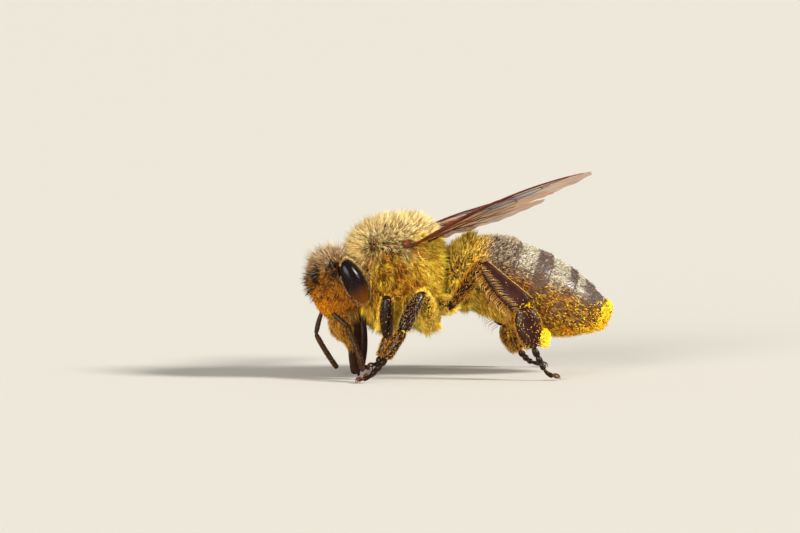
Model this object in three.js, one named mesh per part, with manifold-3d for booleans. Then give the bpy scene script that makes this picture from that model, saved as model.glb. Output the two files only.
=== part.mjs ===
// A worker honey bee (Apis mellifera) at rest on its six feet, head bowed and tongue let down.
// Millimetres. The bee faces -X, its left side is -Y, +Z is up and the feet stand on z = 0.
// The solids reach out to the tips of the coat, and thin parts are at least 0.5 mm thick.

import * as THREE from 'three';
import { mergeVertices } from 'three/addons/utils/BufferGeometryUtils.js';
import Module from 'manifold-3d';

const wasm = await Module();
wasm.setup();

// ---------------------------------------------------------------- driving dimensions

const GAP = 0.05; // clear space between neighbouring pieces
const THIN = 0.5; // least thickness of wings, feelers and feet
const DEGREE = Math.PI / 180;
const SIDES = [['left', -1], ['right', 1]]; // each side with the sign of its y

// Head: its own frame has x to the bee's left, y up to the crown and z out of the face.
const HEAD = {
  centre: [-5.2, -0.25, 4.17],
  bow: 24 * DEGREE, // the face looks down by this
  turn: 12 * DEGREE, // the face looks towards the left side by this
  halfWidth: 1.62,
  crown: 1.84,
  chin: 1.75,
  face: 1.6,
  nape: 0.95,
};

const EYE = {
  out: 1.3,
  up: 0,
  forward: -0.16,
  halfHeight: 1.14,
  halfLength: 0.52,
  bulge: 0.56, // half thickness from side to side
  lean: 4 * DEGREE,
};

const FEELER = { socketOut: 0.28, socketDown: 0.75, socketForward: 1.05 };

// Joints of the feelers, from the bend at the end of the scape to the tip.
const FEELERS = {
  left: [[-4.99, -1.15, 2.29], [-4.73, -1.28, 1.6], [-4.49, -1.34, 0.98], [-4.34, -1.25, 0.36]],
  right: [[-6.28, 0.15, 1.86], [-5.9, 0.32, 1.2], [-5.42, 0.55, 0.55], [-4.85, 0.85, 0.34]],
};

const TONGUE = {
  root: [-4.5, -0.34, 2.75],
  bend: [-4.43, -0.36, 1.4],
  tip: [-4.47, -0.36, 0.06],
  halfLength: [0.36, 0.46, 0.52, 0.44], // from front to back, down the tongue
  halfWidth: [0.3, 0.3, 0.28, 0.25],
};

// Thorax: a squarish egg with the scutellum as a swelling at the back.
const THORAX = {
  centre: [-2.55, 0, 4.5],
  front: 2.5,
  back: 2.1,
  halfWidth: 2.12,
  top: 2.86,
  bottom: 2.6,
  square: 2.45, // 2 is a plain egg, more is squarer
};

// Abdomen: sections square to an arched axis in the plane y = 0. Each list is a smooth
// profile through evenly spaced places from the waist to the tip of the tail.
const ABDOMEN = {
  axis: [[-0.75, 4.2], [1.3, 4.35], [3.2, 3.82], [5.05, 3.15], [6.82, 2.6]], // as x and z
  back: [1.35, 2.05, 2.0, 1.8, 1.56, 1.16, 0.5],
  belly: [1.3, 1.75, 1.95, 2.02, 1.9, 1.45, 0.7],
  halfWidth: [1.25, 1.85, 2.1, 2.12, 1.92, 1.42, 0.7],
  joints: [0, 0.19, 0.378, 0.563, 0.73, 0.86, 0.997], // where the six segments begin and end
  blunt: 9, // how suddenly the tail rounds off
};

// Wings: spread away from the midline, rise, how far the hind edge hangs, and how high the
// middle arches over the line from root to tip, as a share of the length.
const WING_ROOT = [-2.25, 1.95, 5.85]; // on the right side
const WINGS = {
  left: { spread: 24 * DEGREE, rise: 23.5 * DEGREE, droop: 8.5 * DEGREE, arch: 0.03 },
  right: { spread: 29.5 * DEGREE, rise: 12.5 * DEGREE, droop: -6 * DEGREE, arch: 0.025 },
};

// Edges with the first number along the wing and the second from front edge to hind edge.
const FOREWING = {
  front: [[0, -0.12], [1.5, -0.22], [3, -0.28], [5.8, -0.24], [7.6, 0.05], [8.4, 0.5]],
  hind: [[0, 0.32], [1.3, 0.75], [3.1, 1.7], [4.9, 2.65], [5.8, 2.75], [7.1, 2.3], [8.3, 1.1]],
  length: 8.5,
};
const HINDWING = {
  front: [[0, -0.1], [2.1, -0.22], [4.1, -0.2], [5.3, 0.05], [5.65, 0.4]],
  hind: [[0, 0.3], [0.6, 0.55], [1.4, 0.95], [2.4, 1.42], [3.7, 1.6], [4.9, 1.2], [5.55, 0.75]],
  length: 5.7,
};
const HINDWING_PLACE = { along: 0.55, behind: 0.62, sweep: 27 * DEGREE };

// Legs: joints from the body out, as coxa root, trochanter, knee, ankle, end of the
// basitarsus, last bend of the foot and its tip.
const LEGS = {
  fore_left: [
    [-3.2, -0.5, 2.95], [-3.3, -0.85, 2.15], [-3.42, -2.12, 3.62], [-3.33, -1.92, 1.9],
    [-3.66, -1.88, 1.02], [-3.88, -1.87, 0.36], [-4.25, -1.87, 0.12],
  ],
  mid_left: [
    [-1.75, -0.5, 2.95], [-1.2, -1.0, 2.15], [-1.95, -2.5, 3.8], [-2.86, -3.18, 2.25],
    [-3.62, -3.26, 1.06], [-4.3, -3.3, 0.33], [-4.85, -3.32, 0.12],
  ],
  hind_left: [
    [-1.0, -0.5, 3.2], [-0.5, -1.75, 3.2], [0.66, -2.72, 5.1], [2.44, -3.22, 3.22],
    [2.86, -3.3, 1.42], [3.4, -3.28, 0.4], [3.95, -3.28, 0.12],
  ],
  fore_right: [
    [-3.2, 0.5, 2.95], [-3.3, 0.85, 2.15], [-4.25, 2.12, 3.6], [-4.0, 1.92, 1.9],
    [-3.9, 1.9, 1.0], [-3.86, 1.95, 0.36], [-3.6, 2.05, 0.12],
  ],
  mid_right: [
    [-1.75, 0.5, 2.95], [-1.2, 1.0, 2.15], [-1.4, 2.5, 3.85], [-2.2, 3.1, 2.15],
    [-2.65, 3.35, 0.95], [-2.85, 3.4, 0.36], [-3.25, 3.42, 0.12],
  ],
  hind_right: [
    [-1.0, 0.5, 3.2], [-0.45, 1.7, 2.95], [1.05, 2.65, 4.3], [2.88, 3.1, 2.1],
    [3.42, 3.2, 0.75], [3.9, 3.24, 0.28], [4.55, 3.28, 0.12],
  ],
};

// Half widths along each piece, from its near end to its far end.
const LIMBS = {
  fore: {
    coxa: [0.36, 0.34],
    femur: [0.27, 0.36, 0.29],
    tibia: [0.26, 0.29, 0.3],
    basitarsus: [0.26, 0.25],
  },
  mid: {
    coxa: [0.4, 0.36],
    femur: [0.28, 0.37, 0.3],
    tibia: [0.26, 0.32, 0.34],
    basitarsus: [0.31, 0.28],
  },
  hind: {
    coxa: [0.42, 0.36],
    femur: [0.28, 0.38, 0.32],
    tibia: [0.3, 0.5, 0.62],
    basitarsus: [0.56, 0.6, 0.5],
  },
};
const FLAT_HALF = 0.27; // half thickness of the flattened hind tibia and basitarsus

// ---------------------------------------------------------------- shaping tools

const vector = (place) => new THREE.Vector3(...place);

/** A function of t in [0, 1] that runs smoothly through evenly spaced values. */
function profile(values) {
  const curve = new THREE.CatmullRomCurve3(values.map((value, i) => new THREE.Vector3(i, value, 0)));
  return (t) => curve.getPoint(THREE.MathUtils.clamp(t, 0, 1)).y;
}

/** A closed geometry as a solid that can be cut. */
function solidOf(geometry) {
  const bare = geometry.clone();
  bare.deleteAttribute('normal');
  bare.deleteAttribute('uv');
  const joined = mergeVertices(bare, 1e-5);
  return new wasm.Manifold(new wasm.Mesh({
    numProp: 3,
    vertProperties: new Float32Array(joined.attributes.position.array),
    triVerts: new Uint32Array(joined.index.array),
  }));
}

/** Moves every corner of a geometry to where place(corner) says. */
function shaped(geometry, place) {
  const corners = geometry.attributes.position;
  const corner = new THREE.Vector3();
  for (let i = 0; i < corners.count; i += 1) {
    corner.fromBufferAttribute(corners, i);
    const moved = place(corner);
    corners.setXYZ(i, moved.x, moved.y, moved.z);
  }
  return solidOf(geometry);
}

/** How far a point of the unit ball moves out when its circles turn into squarer ovals. */
const squaring = (ball, power) => (
  (Math.abs(ball.x) ** power + Math.abs(ball.y) ** power + Math.abs(ball.z) ** power) ** (-1 / power)
);

/** An egg: a ball whose six half lengths differ, set in a frame. */
function egg({ centre, frame, half, square = 2, swell = () => 0, columns, rows, grow = 0 }) {
  const middle = vector(centre);
  return shaped(new THREE.SphereGeometry(1, columns, rows), (ball) => {
    const size = (1 + swell(ball)) * squaring(ball, square);
    const own = new THREE.Vector3(
      ball.x * size * (half[ball.x > 0 ? 0 : 1] + grow),
      ball.y * size * (half[ball.y > 0 ? 2 : 3] + grow),
      ball.z * size * (half[ball.z > 0 ? 4 : 5] + grow),
    );
    return own.applyMatrix4(frame).add(middle);
  });
}

/** A limb along a curve: blunt ends, half width across and half thickness along its flat normal. */
function limb({ curve, width, thick = width, flat, columns = 8, rows = 5, blunt = 5, grow = 0 }) {
  const across = profile(width);
  const deep = profile(thick);
  return shaped(new THREE.SphereGeometry(1, columns, rows), (ball) => {
    const t = (1 + ball.y) / 2;
    const ring = Math.sqrt(Math.max(0, 1 - ball.y * ball.y));
    const fill = ring > 1e-6 ? (1 - Math.abs(ball.y) ** blunt) ** (1 / blunt) / ring : 0;
    const tangent = curve.getTangent(t);
    const normal = flat.clone().addScaledVector(tangent, -flat.dot(tangent)).normalize();
    const side = new THREE.Vector3().crossVectors(tangent, normal);
    return curve.getPoint(t)
      .addScaledVector(tangent, ball.y * grow)
      .addScaledVector(side, ball.x * fill * (across(t) + grow))
      .addScaledVector(normal, ball.z * fill * (deep(t) + grow));
  });
}

/** The largest single body of a solid that a cut may have left in several. */
function whole(solid) {
  return solid.decompose().reduce((best, body) => (body.volume() > best.volume() ? body : best));
}

/** A named mesh with its own material, from a solid. */
function meshOf(name, solid, { color, roughness, metalness = 0 }) {
  const { vertProperties, triVerts } = whole(solid).getMesh();
  const geometry = new THREE.BufferGeometry();
  geometry.setAttribute('position', new THREE.BufferAttribute(vertProperties, 3));
  geometry.setIndex(new THREE.BufferAttribute(triVerts, 1));
  geometry.computeVertexNormals();
  const mesh = new THREE.Mesh(geometry, new THREE.MeshStandardMaterial({ color, roughness, metalness }));
  mesh.name = name;
  return mesh;
}

/** Takes every cutter out of a solid. */
const cutBy = (solid, cutters) => cutters.reduce((left, cutter) => left.subtract(cutter), solid);

// ---------------------------------------------------------------- finishes

const GOLD_FUR = { color: 0xb08a3c, roughness: 0.95 };
const EYE_SHELL = { color: 0x2a1712, roughness: 0.25 };
const BROWN_SHELL = { color: 0x3a2114, roughness: 0.4 };
const DARK_SHELL = { color: 0x241510, roughness: 0.35 };
const BAND_FUR = { color: 0x8d7446, roughness: 0.9 };
const WING_SKIN = { color: 0xb98a5a, roughness: 0.3 };

// ---------------------------------------------------------------- head

const headFrame = new THREE.Matrix4().makeBasis(
  new THREE.Vector3(Math.sin(HEAD.turn), -Math.cos(HEAD.turn), 0),
  new THREE.Vector3(
    -Math.sin(HEAD.bow) * Math.cos(HEAD.turn),
    -Math.sin(HEAD.bow) * Math.sin(HEAD.turn),
    Math.cos(HEAD.bow),
  ),
  new THREE.Vector3(
    -Math.cos(HEAD.bow) * Math.cos(HEAD.turn),
    -Math.cos(HEAD.bow) * Math.sin(HEAD.turn),
    -Math.sin(HEAD.bow),
  ),
);

/** A place given from the middle of the head, as right, up and forward. */
const onHead = (right, up, forward) => (
  new THREE.Vector3(-right, up, forward).applyMatrix4(headFrame).add(vector(HEAD.centre))
);

/** The head narrows towards the mouth, so its width follows the height on the ball. */
function headEgg(grow) {
  const middle = vector(HEAD.centre);
  const taper = profile([0.5, 0.86, 1, 0.98, 0.86]);
  return shaped(new THREE.SphereGeometry(1, 20, 12), (ball) => new THREE.Vector3(
    ball.x * (HEAD.halfWidth * taper((1 + ball.y) / 2) + grow),
    ball.y * ((ball.y > 0 ? HEAD.crown : HEAD.chin) + grow),
    ball.z * ((ball.z > 0 ? HEAD.face : HEAD.nape) + grow),
  ).applyMatrix4(headFrame).add(middle));
}

/** An eye: a tall shallow ball that leans back at its lower end. */
function eyeEgg(side, grow) {
  const frame = headFrame.clone().multiply(new THREE.Matrix4().makeRotationX(EYE.lean));
  return egg({
    centre: onHead(side * EYE.out, EYE.up, EYE.forward).toArray(),
    frame,
    half: [EYE.bulge, EYE.bulge, EYE.halfHeight, EYE.halfHeight, EYE.halfLength, EYE.halfLength],
    columns: 12,
    rows: 9,
    grow,
  });
}

const outward = onHead(1, 0, 0).sub(onHead(0, 0, 0)); // square to the head's middle plane

/** Scape and flagellum of one feeler. */
function feeler(sideName, side) {
  const socket = onHead(side * FEELER.socketOut, -FEELER.socketDown, FEELER.socketForward);
  const joints = FEELERS[sideName].map(vector);
  const half = THIN / 2;
  return {
    scape: (grow) => limb({
      curve: new THREE.LineCurve3(socket, joints[0]),
      width: [half, half],
      flat: outward,
      grow,
    }),
    flagellum: (grow) => limb({
      curve: new THREE.CatmullRomCurve3(joints),
      width: [half, half],
      flat: outward,
      rows: 10,
      grow,
    }),
  };
}

/** A jaw: a short broad blade beside the mouth. */
const jaw = (side, grow) => limb({
  curve: new THREE.QuadraticBezierCurve3(
    onHead(side * 0.62, -1.35, 0.55),
    onHead(side * 0.62, -2.0, 0.75),
    onHead(side * 0.3, -2.4, 0.75),
  ),
  width: [0.3, 0.3, 0.25],
  flat: outward,
  grow,
});

const tongue = (grow) => limb({
  curve: new THREE.CatmullRomCurve3([vector(TONGUE.root), vector(TONGUE.bend), vector(TONGUE.tip)]),
  width: TONGUE.halfLength,
  thick: TONGUE.halfWidth,
  flat: outward,
  rows: 8,
  grow,
});

// ---------------------------------------------------------------- thorax

const bodyFrame = new THREE.Matrix4().makeBasis(
  new THREE.Vector3(0, -1, 0),
  new THREE.Vector3(0, 0, 1),
  new THREE.Vector3(-1, 0, 0),
);

/** The scutellum's swelling, high at the back of the thorax. */
function scutellum(ball) {
  const off = ball.distanceTo(new THREE.Vector3(0, 0.78, -0.62));
  return 0.08 * Math.exp(-((off / 0.42) ** 2));
}

const thoraxEgg = (grow) => egg({
  centre: THORAX.centre,
  frame: bodyFrame,
  half: [THORAX.halfWidth, THORAX.halfWidth, THORAX.top, THORAX.bottom, THORAX.front, THORAX.back],
  square: THORAX.square,
  swell: scutellum,
  columns: 20,
  rows: 13,
  grow,
});

/** The small plate over the wing's hinge. */
const tegula = (side, grow) => egg({
  centre: [THORAX.centre[0] + 0.12, side * 1.98, 5.95],
  frame: bodyFrame,
  half: [0.26, 0.26, 0.27, 0.27, 0.4, 0.4],
  columns: 10,
  rows: 7,
  grow,
});

// ---------------------------------------------------------------- abdomen

const abdomenAxis = new THREE.CatmullRomCurve3(
  ABDOMEN.axis.map(([x, z]) => new THREE.Vector3(x, 0, z)),
);
const abdomenBack = profile(ABDOMEN.back);
const abdomenBelly = profile(ABDOMEN.belly);
const abdomenHalf = profile(ABDOMEN.halfWidth);

/** One ring of the abdomen, between two places on its axis, with more rows towards its end. */
function segment(start, end, rows) {
  return shaped(new THREE.CylinderGeometry(1, 1, 1, 20, rows), (corner) => {
    const along = 1 - (0.5 - corner.y) ** 1.5;
    const s = THREE.MathUtils.lerp(start, end, along);
    const tangent = abdomenAxis.getTangent(s);
    const up = new THREE.Vector3(-tangent.z, 0, tangent.x);
    const rounding = (1 - s ** ABDOMEN.blunt) ** (1 / ABDOMEN.blunt);
    const height = corner.z > 0 ? abdomenBack(s) : abdomenBelly(s);
    return abdomenAxis.getPoint(s)
      .addScaledVector(up, corner.z * rounding * height)
      .add(new THREE.Vector3(0, -corner.x * rounding * abdomenHalf(s), 0));
  });
}

// ---------------------------------------------------------------- wings

/** A wing's frame: x along the wing, y from front edge to hind edge, z across the skin. */
function wingFrame(side, { spread, rise, droop }) {
  const along = new THREE.Vector3(
    Math.cos(rise) * Math.cos(spread),
    side * Math.cos(rise) * Math.sin(spread),
    Math.sin(rise),
  );
  const level = new THREE.Vector3(Math.sin(spread), -side * Math.cos(spread), 0);
  const above = new THREE.Vector3().crossVectors(along, level).multiplyScalar(-side);
  const back = level.clone().multiplyScalar(Math.cos(droop)).addScaledVector(above, -Math.sin(droop));
  const skin = new THREE.Vector3().crossVectors(along, back);
  const [x, y, z] = WING_ROOT;
  return new THREE.Matrix4().makeBasis(along, back, skin).setPosition(x, side * y, z);
}

/** The frame of a hind wing, which lies in the plane of its forewing and follows its hind edge. */
function hindFrame(frame) {
  const { along, behind, sweep } = HINDWING_PLACE;
  return frame.clone()
    .multiply(new THREE.Matrix4().makeTranslation(along, behind, 0))
    .multiply(new THREE.Matrix4().makeRotationZ(sweep));
}

/** A curve in the plane of a wing, through its edge's points. */
const edge = (points) => new THREE.CatmullRomCurve3(points.map(([along, back]) => vector([along, back, 0])));

/** A wing blade of even thickness between its two edges, arched, and grown by a margin. */
function blade({ front, hind, length }, arch, frame, grow) {
  const [frontEdge, hindEdge] = [edge(front), edge(hind)];
  return shaped(new THREE.BoxGeometry(2, 2, 2, 8, 2, 1), (corner) => {
    const t = (1 + corner.x) / 2;
    const flat = frontEdge.getPoint(t).lerp(hindEdge.getPoint(t), (1 + corner.y) / 2);
    const share = THREE.MathUtils.clamp(flat.x / length, 0, 1);
    const lift = arch * length * 4 * share * (1 - share);
    const atEnd = Math.abs(corner.x) === 1 ? corner.x : 0;
    return new THREE.Vector3(
      flat.x + atEnd * grow,
      flat.y + corner.y * grow,
      lift + corner.z * (THIN / 2 + grow),
    ).applyMatrix4(frame);
  });
}

// ---------------------------------------------------------------- legs

/** The five pieces of a leg, each a function of its growth. */
function legPieces(legName) {
  const joints = LEGS[legName].map(vector);
  const kind = legName.split('_')[0];
  const sizes = LIMBS[kind];
  const out = new THREE.Vector3(0, legName.endsWith('left') ? -1 : 1, 0);
  const thinned = (widths) => (kind === 'hind' ? widths.map(() => FLAT_HALF) : widths);
  const straight = (a, b) => new THREE.LineCurve3(joints[a], joints[b]);
  return {
    coxa: (grow) => limb({ curve: straight(0, 1), width: sizes.coxa, flat: out, grow }),
    femur: (grow) => limb({ curve: straight(1, 2), width: sizes.femur, flat: out, grow }),
    tibia: (grow) => limb({
      curve: straight(2, 3),
      width: sizes.tibia,
      thick: thinned(sizes.tibia),
      flat: out,
      grow,
    }),
    basitarsus: (grow) => limb({
      curve: straight(3, 4),
      width: sizes.basitarsus,
      thick: thinned(sizes.basitarsus),
      flat: out,
      grow,
    }),
    tarsus: (grow) => limb({
      curve: new THREE.CatmullRomCurve3(joints.slice(4)),
      width: [THIN / 2, THIN / 2, 0.27, 0.3],
      thick: [THIN / 2, THIN / 2],
      flat: out,
      rows: 7,
      grow,
    }),
  };
}

// ---------------------------------------------------------------- put together

const bee = new THREE.Group();
const addPiece = (name, solid, finish) => bee.add(meshOf(name, solid, finish));

// Everything stays above the floor: the feet end in small flats on it.
const aboveFloor = solidOf(new THREE.BoxGeometry(40, 40, 20).translate(0, 0, 10));

const limbCutters = [];
for (const legName of Object.keys(LEGS)) {
  const pieces = legPieces(legName);
  const names = Object.keys(pieces);
  names.forEach((name, i) => {
    const earlier = i > 0 ? [pieces[names[i - 1]](GAP)] : [];
    const solid = cutBy(pieces[name](0), earlier).intersect(aboveFloor);
    addPiece(`leg_${legName}_${name}`, solid, name === 'coxa' ? BROWN_SHELL : DARK_SHELL);
    limbCutters.push(pieces[name](GAP));
  });
}

const headCutters = [];
for (const [sideName, side] of SIDES) {
  addPiece(`eye_${sideName}`, eyeEgg(side, 0), EYE_SHELL);
  const { scape, flagellum } = feeler(sideName, side);
  addPiece(`feeler_${sideName}_scape`, scape(0), DARK_SHELL);
  addPiece(`feeler_${sideName}_flagellum`, cutBy(flagellum(0), [scape(GAP)]), DARK_SHELL);
  addPiece(`jaw_${sideName}`, cutBy(jaw(side, 0), [scape(GAP), flagellum(GAP)]), BROWN_SHELL);
  headCutters.push(eyeEgg(side, GAP), scape(GAP), jaw(side, GAP));
}
addPiece('tongue', cutBy(tongue(0), [jaw(1, GAP), jaw(-1, GAP)]), BROWN_SHELL);
addPiece('head', cutBy(headEgg(0), [...headCutters, tongue(GAP)]), GOLD_FUR);

const wingCutters = [];
for (const [sideName, side] of SIDES) {
  const frame = wingFrame(side, WINGS[sideName]);
  const hind = hindFrame(frame);
  const arch = -side * WINGS[sideName].arch; // the skin's normal points down on the right
  const plate = tegula(side, GAP);
  addPiece(`tegula_${sideName}`, tegula(side, 0), BROWN_SHELL);
  addPiece(`forewing_${sideName}`, cutBy(blade(FOREWING, arch, frame, 0), [plate]), WING_SKIN);
  wingCutters.push(plate, blade(FOREWING, arch, frame, GAP));
  addPiece(`hindwing_${sideName}`, cutBy(blade(HINDWING, arch, hind, 0), wingCutters), WING_SKIN);
  wingCutters.push(blade(HINDWING, arch, hind, GAP));
}

const faceCutters = [headEgg(GAP), eyeEgg(1, GAP), eyeEgg(-1, GAP), tongue(GAP)];
const thoraxCutters = [...limbCutters, ...wingCutters, ...faceCutters];
addPiece('thorax', cutBy(thoraxEgg(0), thoraxCutters), GOLD_FUR);

const ringGap = GAP / abdomenAxis.getLength(); // the gap as a share of the axis
const ringCount = ABDOMEN.joints.length - 1;
for (let i = 0; i < ringCount; i += 1) {
  const start = ABDOMEN.joints[i] + ringGap / 2;
  const end = ABDOMEN.joints[i + 1] - ringGap / 2;
  const ring = segment(start, end, i < ringCount - 1 ? 2 : 4);
  const solid = cutBy(ring, [thoraxEgg(GAP), ...limbCutters, ...wingCutters]);
  addPiece(`abdomen_${i + 1}`, solid, i < 1 ? GOLD_FUR : BAND_FUR);
}

export default bee;
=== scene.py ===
"""A worker honey bee (Apis mellifera) at life size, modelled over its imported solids.

Lengths are millimetres until piece() turns them into metres. The bee faces -X, its left side is
-Y and +Z is up. Each skin is a function of (u, v), both from 0 to 1, with u round the body and v
along it, and the coat is rooted on the same functions, so skin and coat share their markings.
"""

import math

import bpy
import numpy as np
from mathutils import Matrix, Vector


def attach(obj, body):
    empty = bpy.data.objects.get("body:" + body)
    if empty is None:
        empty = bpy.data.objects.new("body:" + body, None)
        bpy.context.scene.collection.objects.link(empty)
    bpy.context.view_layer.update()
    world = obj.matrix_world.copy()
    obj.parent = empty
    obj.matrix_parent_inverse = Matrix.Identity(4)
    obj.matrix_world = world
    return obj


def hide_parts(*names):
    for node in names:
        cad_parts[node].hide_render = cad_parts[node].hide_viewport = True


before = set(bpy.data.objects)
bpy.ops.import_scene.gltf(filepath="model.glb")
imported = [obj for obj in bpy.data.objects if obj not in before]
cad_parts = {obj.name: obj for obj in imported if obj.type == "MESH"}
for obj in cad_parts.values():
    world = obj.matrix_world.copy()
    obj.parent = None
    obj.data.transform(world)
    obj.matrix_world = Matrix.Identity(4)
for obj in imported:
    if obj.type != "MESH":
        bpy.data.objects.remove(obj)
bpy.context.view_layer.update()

MM = 0.001
TURN = 2 * math.pi
SIDES = {"left": -1.0, "right": 1.0}  # the sign of y
BACKWARD = np.array([1.0, 0.0, 0.0])
UPWARD = np.array([0.0, 0.0, 1.0])


# ---------------------------------------------------------------- numbers and curves

def unit(vectors):
    """The vectors at length one."""
    return vectors / np.maximum(np.linalg.norm(vectors, axis=-1, keepdims=True), 1e-12)


def distance(points, place):
    """How far each point is from a place."""
    return np.linalg.norm(points - np.asarray(place, float), axis=-1)


def ease(x, low, high):
    """0 below low and 1 above high, with a smooth climb between them: 3 t^2 - 2 t^3."""
    t = np.clip((x - low) / (high - low), 0, 1)
    return t * t * (3 - 2 * t)


def dome(gap, width):
    """A soft bump: one at no gap, fading as exp(-(gap / width)^2)."""
    return np.exp(-((gap / width) ** 2))


def profile(values):
    """A smooth function of t in [0, 1] through evenly spaced values or points: cubic pieces,
    whose slope at each value is half the step between its two neighbours."""
    values = np.asarray(values, float)
    slopes = np.gradient(values, axis=0)

    def at(t):
        x = np.clip(t, 0, 1) * (len(values) - 1)
        i = np.minimum(x.astype(int), len(values) - 2)
        f = x - i
        if values.ndim > 1:
            f = f[..., None]
        blend = f * f * (3 - 2 * f)
        return (values[i] * (1 - blend) + values[i + 1] * blend
                + slopes[i] * f * (1 - f) ** 2 - slopes[i + 1] * f * f * (1 - f))

    return at


def path(points):
    """A smooth curve through the points, with t in [0, 1] measured along its length."""
    through = profile(points)
    even = np.linspace(0, 1, 240)
    steps = np.linalg.norm(np.diff(through(even), axis=0), axis=1)
    length = np.concatenate([[0], np.cumsum(steps)])
    return lambda t: through(np.interp(t, length / length[-1], even))


def stretch(curve, start, end):
    """The part of a curve from start to end, as a curve of its own."""
    return lambda t: curve(start + (end - start) * t)


def ripple(points, size, seed):
    """Soft noise from about -1 to 1: six sine waves, about size mm from crest to crest."""
    rng = np.random.default_rng(seed)
    waves = unit(rng.normal(size=(6, 3))) * TURN / size * rng.uniform(0.7, 1.4, (6, 1))
    return np.sin(points @ waves.T + rng.uniform(0, TURN, 6)).sum(-1) / 3.2


def linear(hex_colour):
    """An sRGB hex colour as linear red, green, blue and alpha."""
    srgb = np.array([int(hex_colour[i:i + 2], 16) for i in (1, 3, 5)]) / 255
    flat = np.where(srgb <= 0.04045, srgb / 12.92, ((srgb + 0.055) / 1.055) ** 2.4)
    return np.append(flat, 1.0)


def mixed(first, second, share):
    """Two colours or vectors, or arrays of them, mixed row by row."""
    share = np.asarray(share)[..., None]
    return first * (1 - share) + second * share


# ---------------------------------------------------------------- meshes

def grid_faces(rows, columns, shut_rows=False):
    """Quads over a grid whose columns go round, and whose rows do too if shut_rows."""
    row = np.arange(rows if shut_rows else rows - 1)[:, None]
    column = np.arange(columns)[None, :]
    after, beside = (row + 1) % rows, (column + 1) % columns
    corners = [row * columns + column, row * columns + beside,
               after * columns + beside, after * columns + column]
    return np.stack([np.broadcast_to(c, (len(row), columns)) for c in corners], -1).reshape(-1, 4)


def outward(verts, faces):
    """The faces, all turned over if they enclose a negative volume."""
    volume = 0.0
    for group in faces:
        corners = [verts[group[:, k]] for k in range(group.shape[1])]
        for b, c in zip(corners[1:], corners[2:]):
            volume += np.einsum("ij,ij->i", corners[0], np.cross(b, c)).sum()
    return faces if volume > 0 else [group[:, ::-1] for group in faces]


def shut(points):
    """A closed skin from a grid of points (rows, columns, 3): its two end rows are fans."""
    rows, columns = points.shape[:2]
    verts = np.concatenate([points.reshape(-1, 3), points[0].mean(0)[None], points[-1].mean(0)[None]])
    here = np.arange(columns)
    beside, last = (here + 1) % columns, (rows - 1) * columns
    start = np.stack([beside, here, np.full(columns, rows * columns)], -1)
    end = np.stack([last + here, last + beside, np.full(columns, rows * columns + 1)], -1)
    return verts, outward(verts, [grid_faces(rows, columns), start, end])


def ring(points):
    """A closed shell from a grid that goes round both ways, as the skin of a hoop does."""
    verts = points.reshape(-1, 3)
    return verts, outward(verts, [grid_faces(*points.shape[:2], shut_rows=True)])


def round_ball(rows, columns):
    """A ball of radius one: rows from pole to pole along z and columns round."""
    polar, around = np.meshgrid(np.linspace(0.05, np.pi - 0.05, rows),
                                TURN * np.arange(columns) / columns, indexing="ij")
    return np.stack([np.sin(polar) * np.cos(around), np.sin(polar) * np.sin(around), np.cos(polar)], -1)


def limb(curve, across, deep, flat, rows=24, columns=20, blunt=5, hollow=0.0):
    """A closed limb along a curve: ovals of half width across(t) and half thickness deep(t) along
    the flat normal, filled out from each end as (1 - |2t - 1|^blunt)^(1/blunt). hollow dishes
    the outer face, as on the pollen basket."""
    t = (1 - np.cos(np.linspace(0.06, np.pi - 0.06, rows))) / 2
    around = TURN * np.arange(columns) / columns
    fill = (1 - np.abs(2 * t - 1) ** blunt) ** (1 / blunt)
    _, normal, side = limb_frame(curve, flat, t)
    lift = np.sin(around)
    dished = np.where(lift > 0, lift * (1 - hollow) - 0.35 * hollow * lift ** 3, lift)
    wide = (fill * across(t))[:, None, None] * np.cos(around)[None, :, None]
    tall = (fill * deep(t))[:, None, None] * dished[None, :, None]
    return shut(curve(t)[:, None] + side[:, None] * wide + normal[:, None] * tall)


def limb_frame(curve, flat, t):
    """Directions along a curve, off its flat face and across it."""
    tangent = unit(curve(np.minimum(t + 0.01, 1)) - curve(np.maximum(t - 0.01, 0)))
    normal = unit(flat - tangent * (tangent @ flat)[:, None])
    return tangent, normal, np.cross(tangent, normal)


def rod(points, wide, deep=None, flat=-UPWARD, **grid):
    """A limb through points, from lists of half widths and half thicknesses."""
    return limb(path(points), profile(wide), profile(deep or wide), flat, **grid)


def joined(parts):
    """Several (verts, faces) as one."""
    verts, faces, start = [], [], 0
    for part_verts, part_faces in parts:
        verts.append(part_verts)
        faces += [group + start for group in part_faces]
        start += len(part_verts)
    return np.concatenate(verts), faces


def piece(name, shape, material, replaces=(), colours=None, patches=None):
    """A mesh object that rides on the body: colours are given by vertex and patches by corner."""
    verts, faces = shape
    corners = np.concatenate([group.ravel() for group in faces]).astype(np.int32)
    sizes = np.concatenate([np.full(len(group), group.shape[1]) for group in faces])
    starts = np.concatenate([[0], np.cumsum(sizes)[:-1]]).astype(np.int32)
    mesh = bpy.data.meshes.new(name)
    mesh.vertices.add(len(verts))
    mesh.vertices.foreach_set("co", (verts * MM).astype(np.float32).ravel())
    mesh.loops.add(len(corners))
    mesh.loops.foreach_set("vertex_index", corners)
    mesh.polygons.add(len(sizes))
    mesh.polygons.foreach_set("loop_start", starts)
    mesh.polygons.foreach_set("use_smooth", np.ones(len(sizes), bool))
    mesh.update(calc_edges=True)
    if colours is not None:
        marking = mesh.attributes.new("marking", "FLOAT_COLOR", "POINT")
        marking.data.foreach_set("color", colours.astype(np.float32).ravel())
    if patches is not None:
        layer = mesh.uv_layers.new(name="OFBake")
        layer.uv.foreach_set("vector", patches.astype(np.float32).ravel())
    mesh.materials.append(material)
    made = bpy.data.objects.new(name, mesh)
    bpy.context.scene.collection.objects.link(made)
    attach(made, "root")
    if replaces:
        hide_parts(*replaces)


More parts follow.
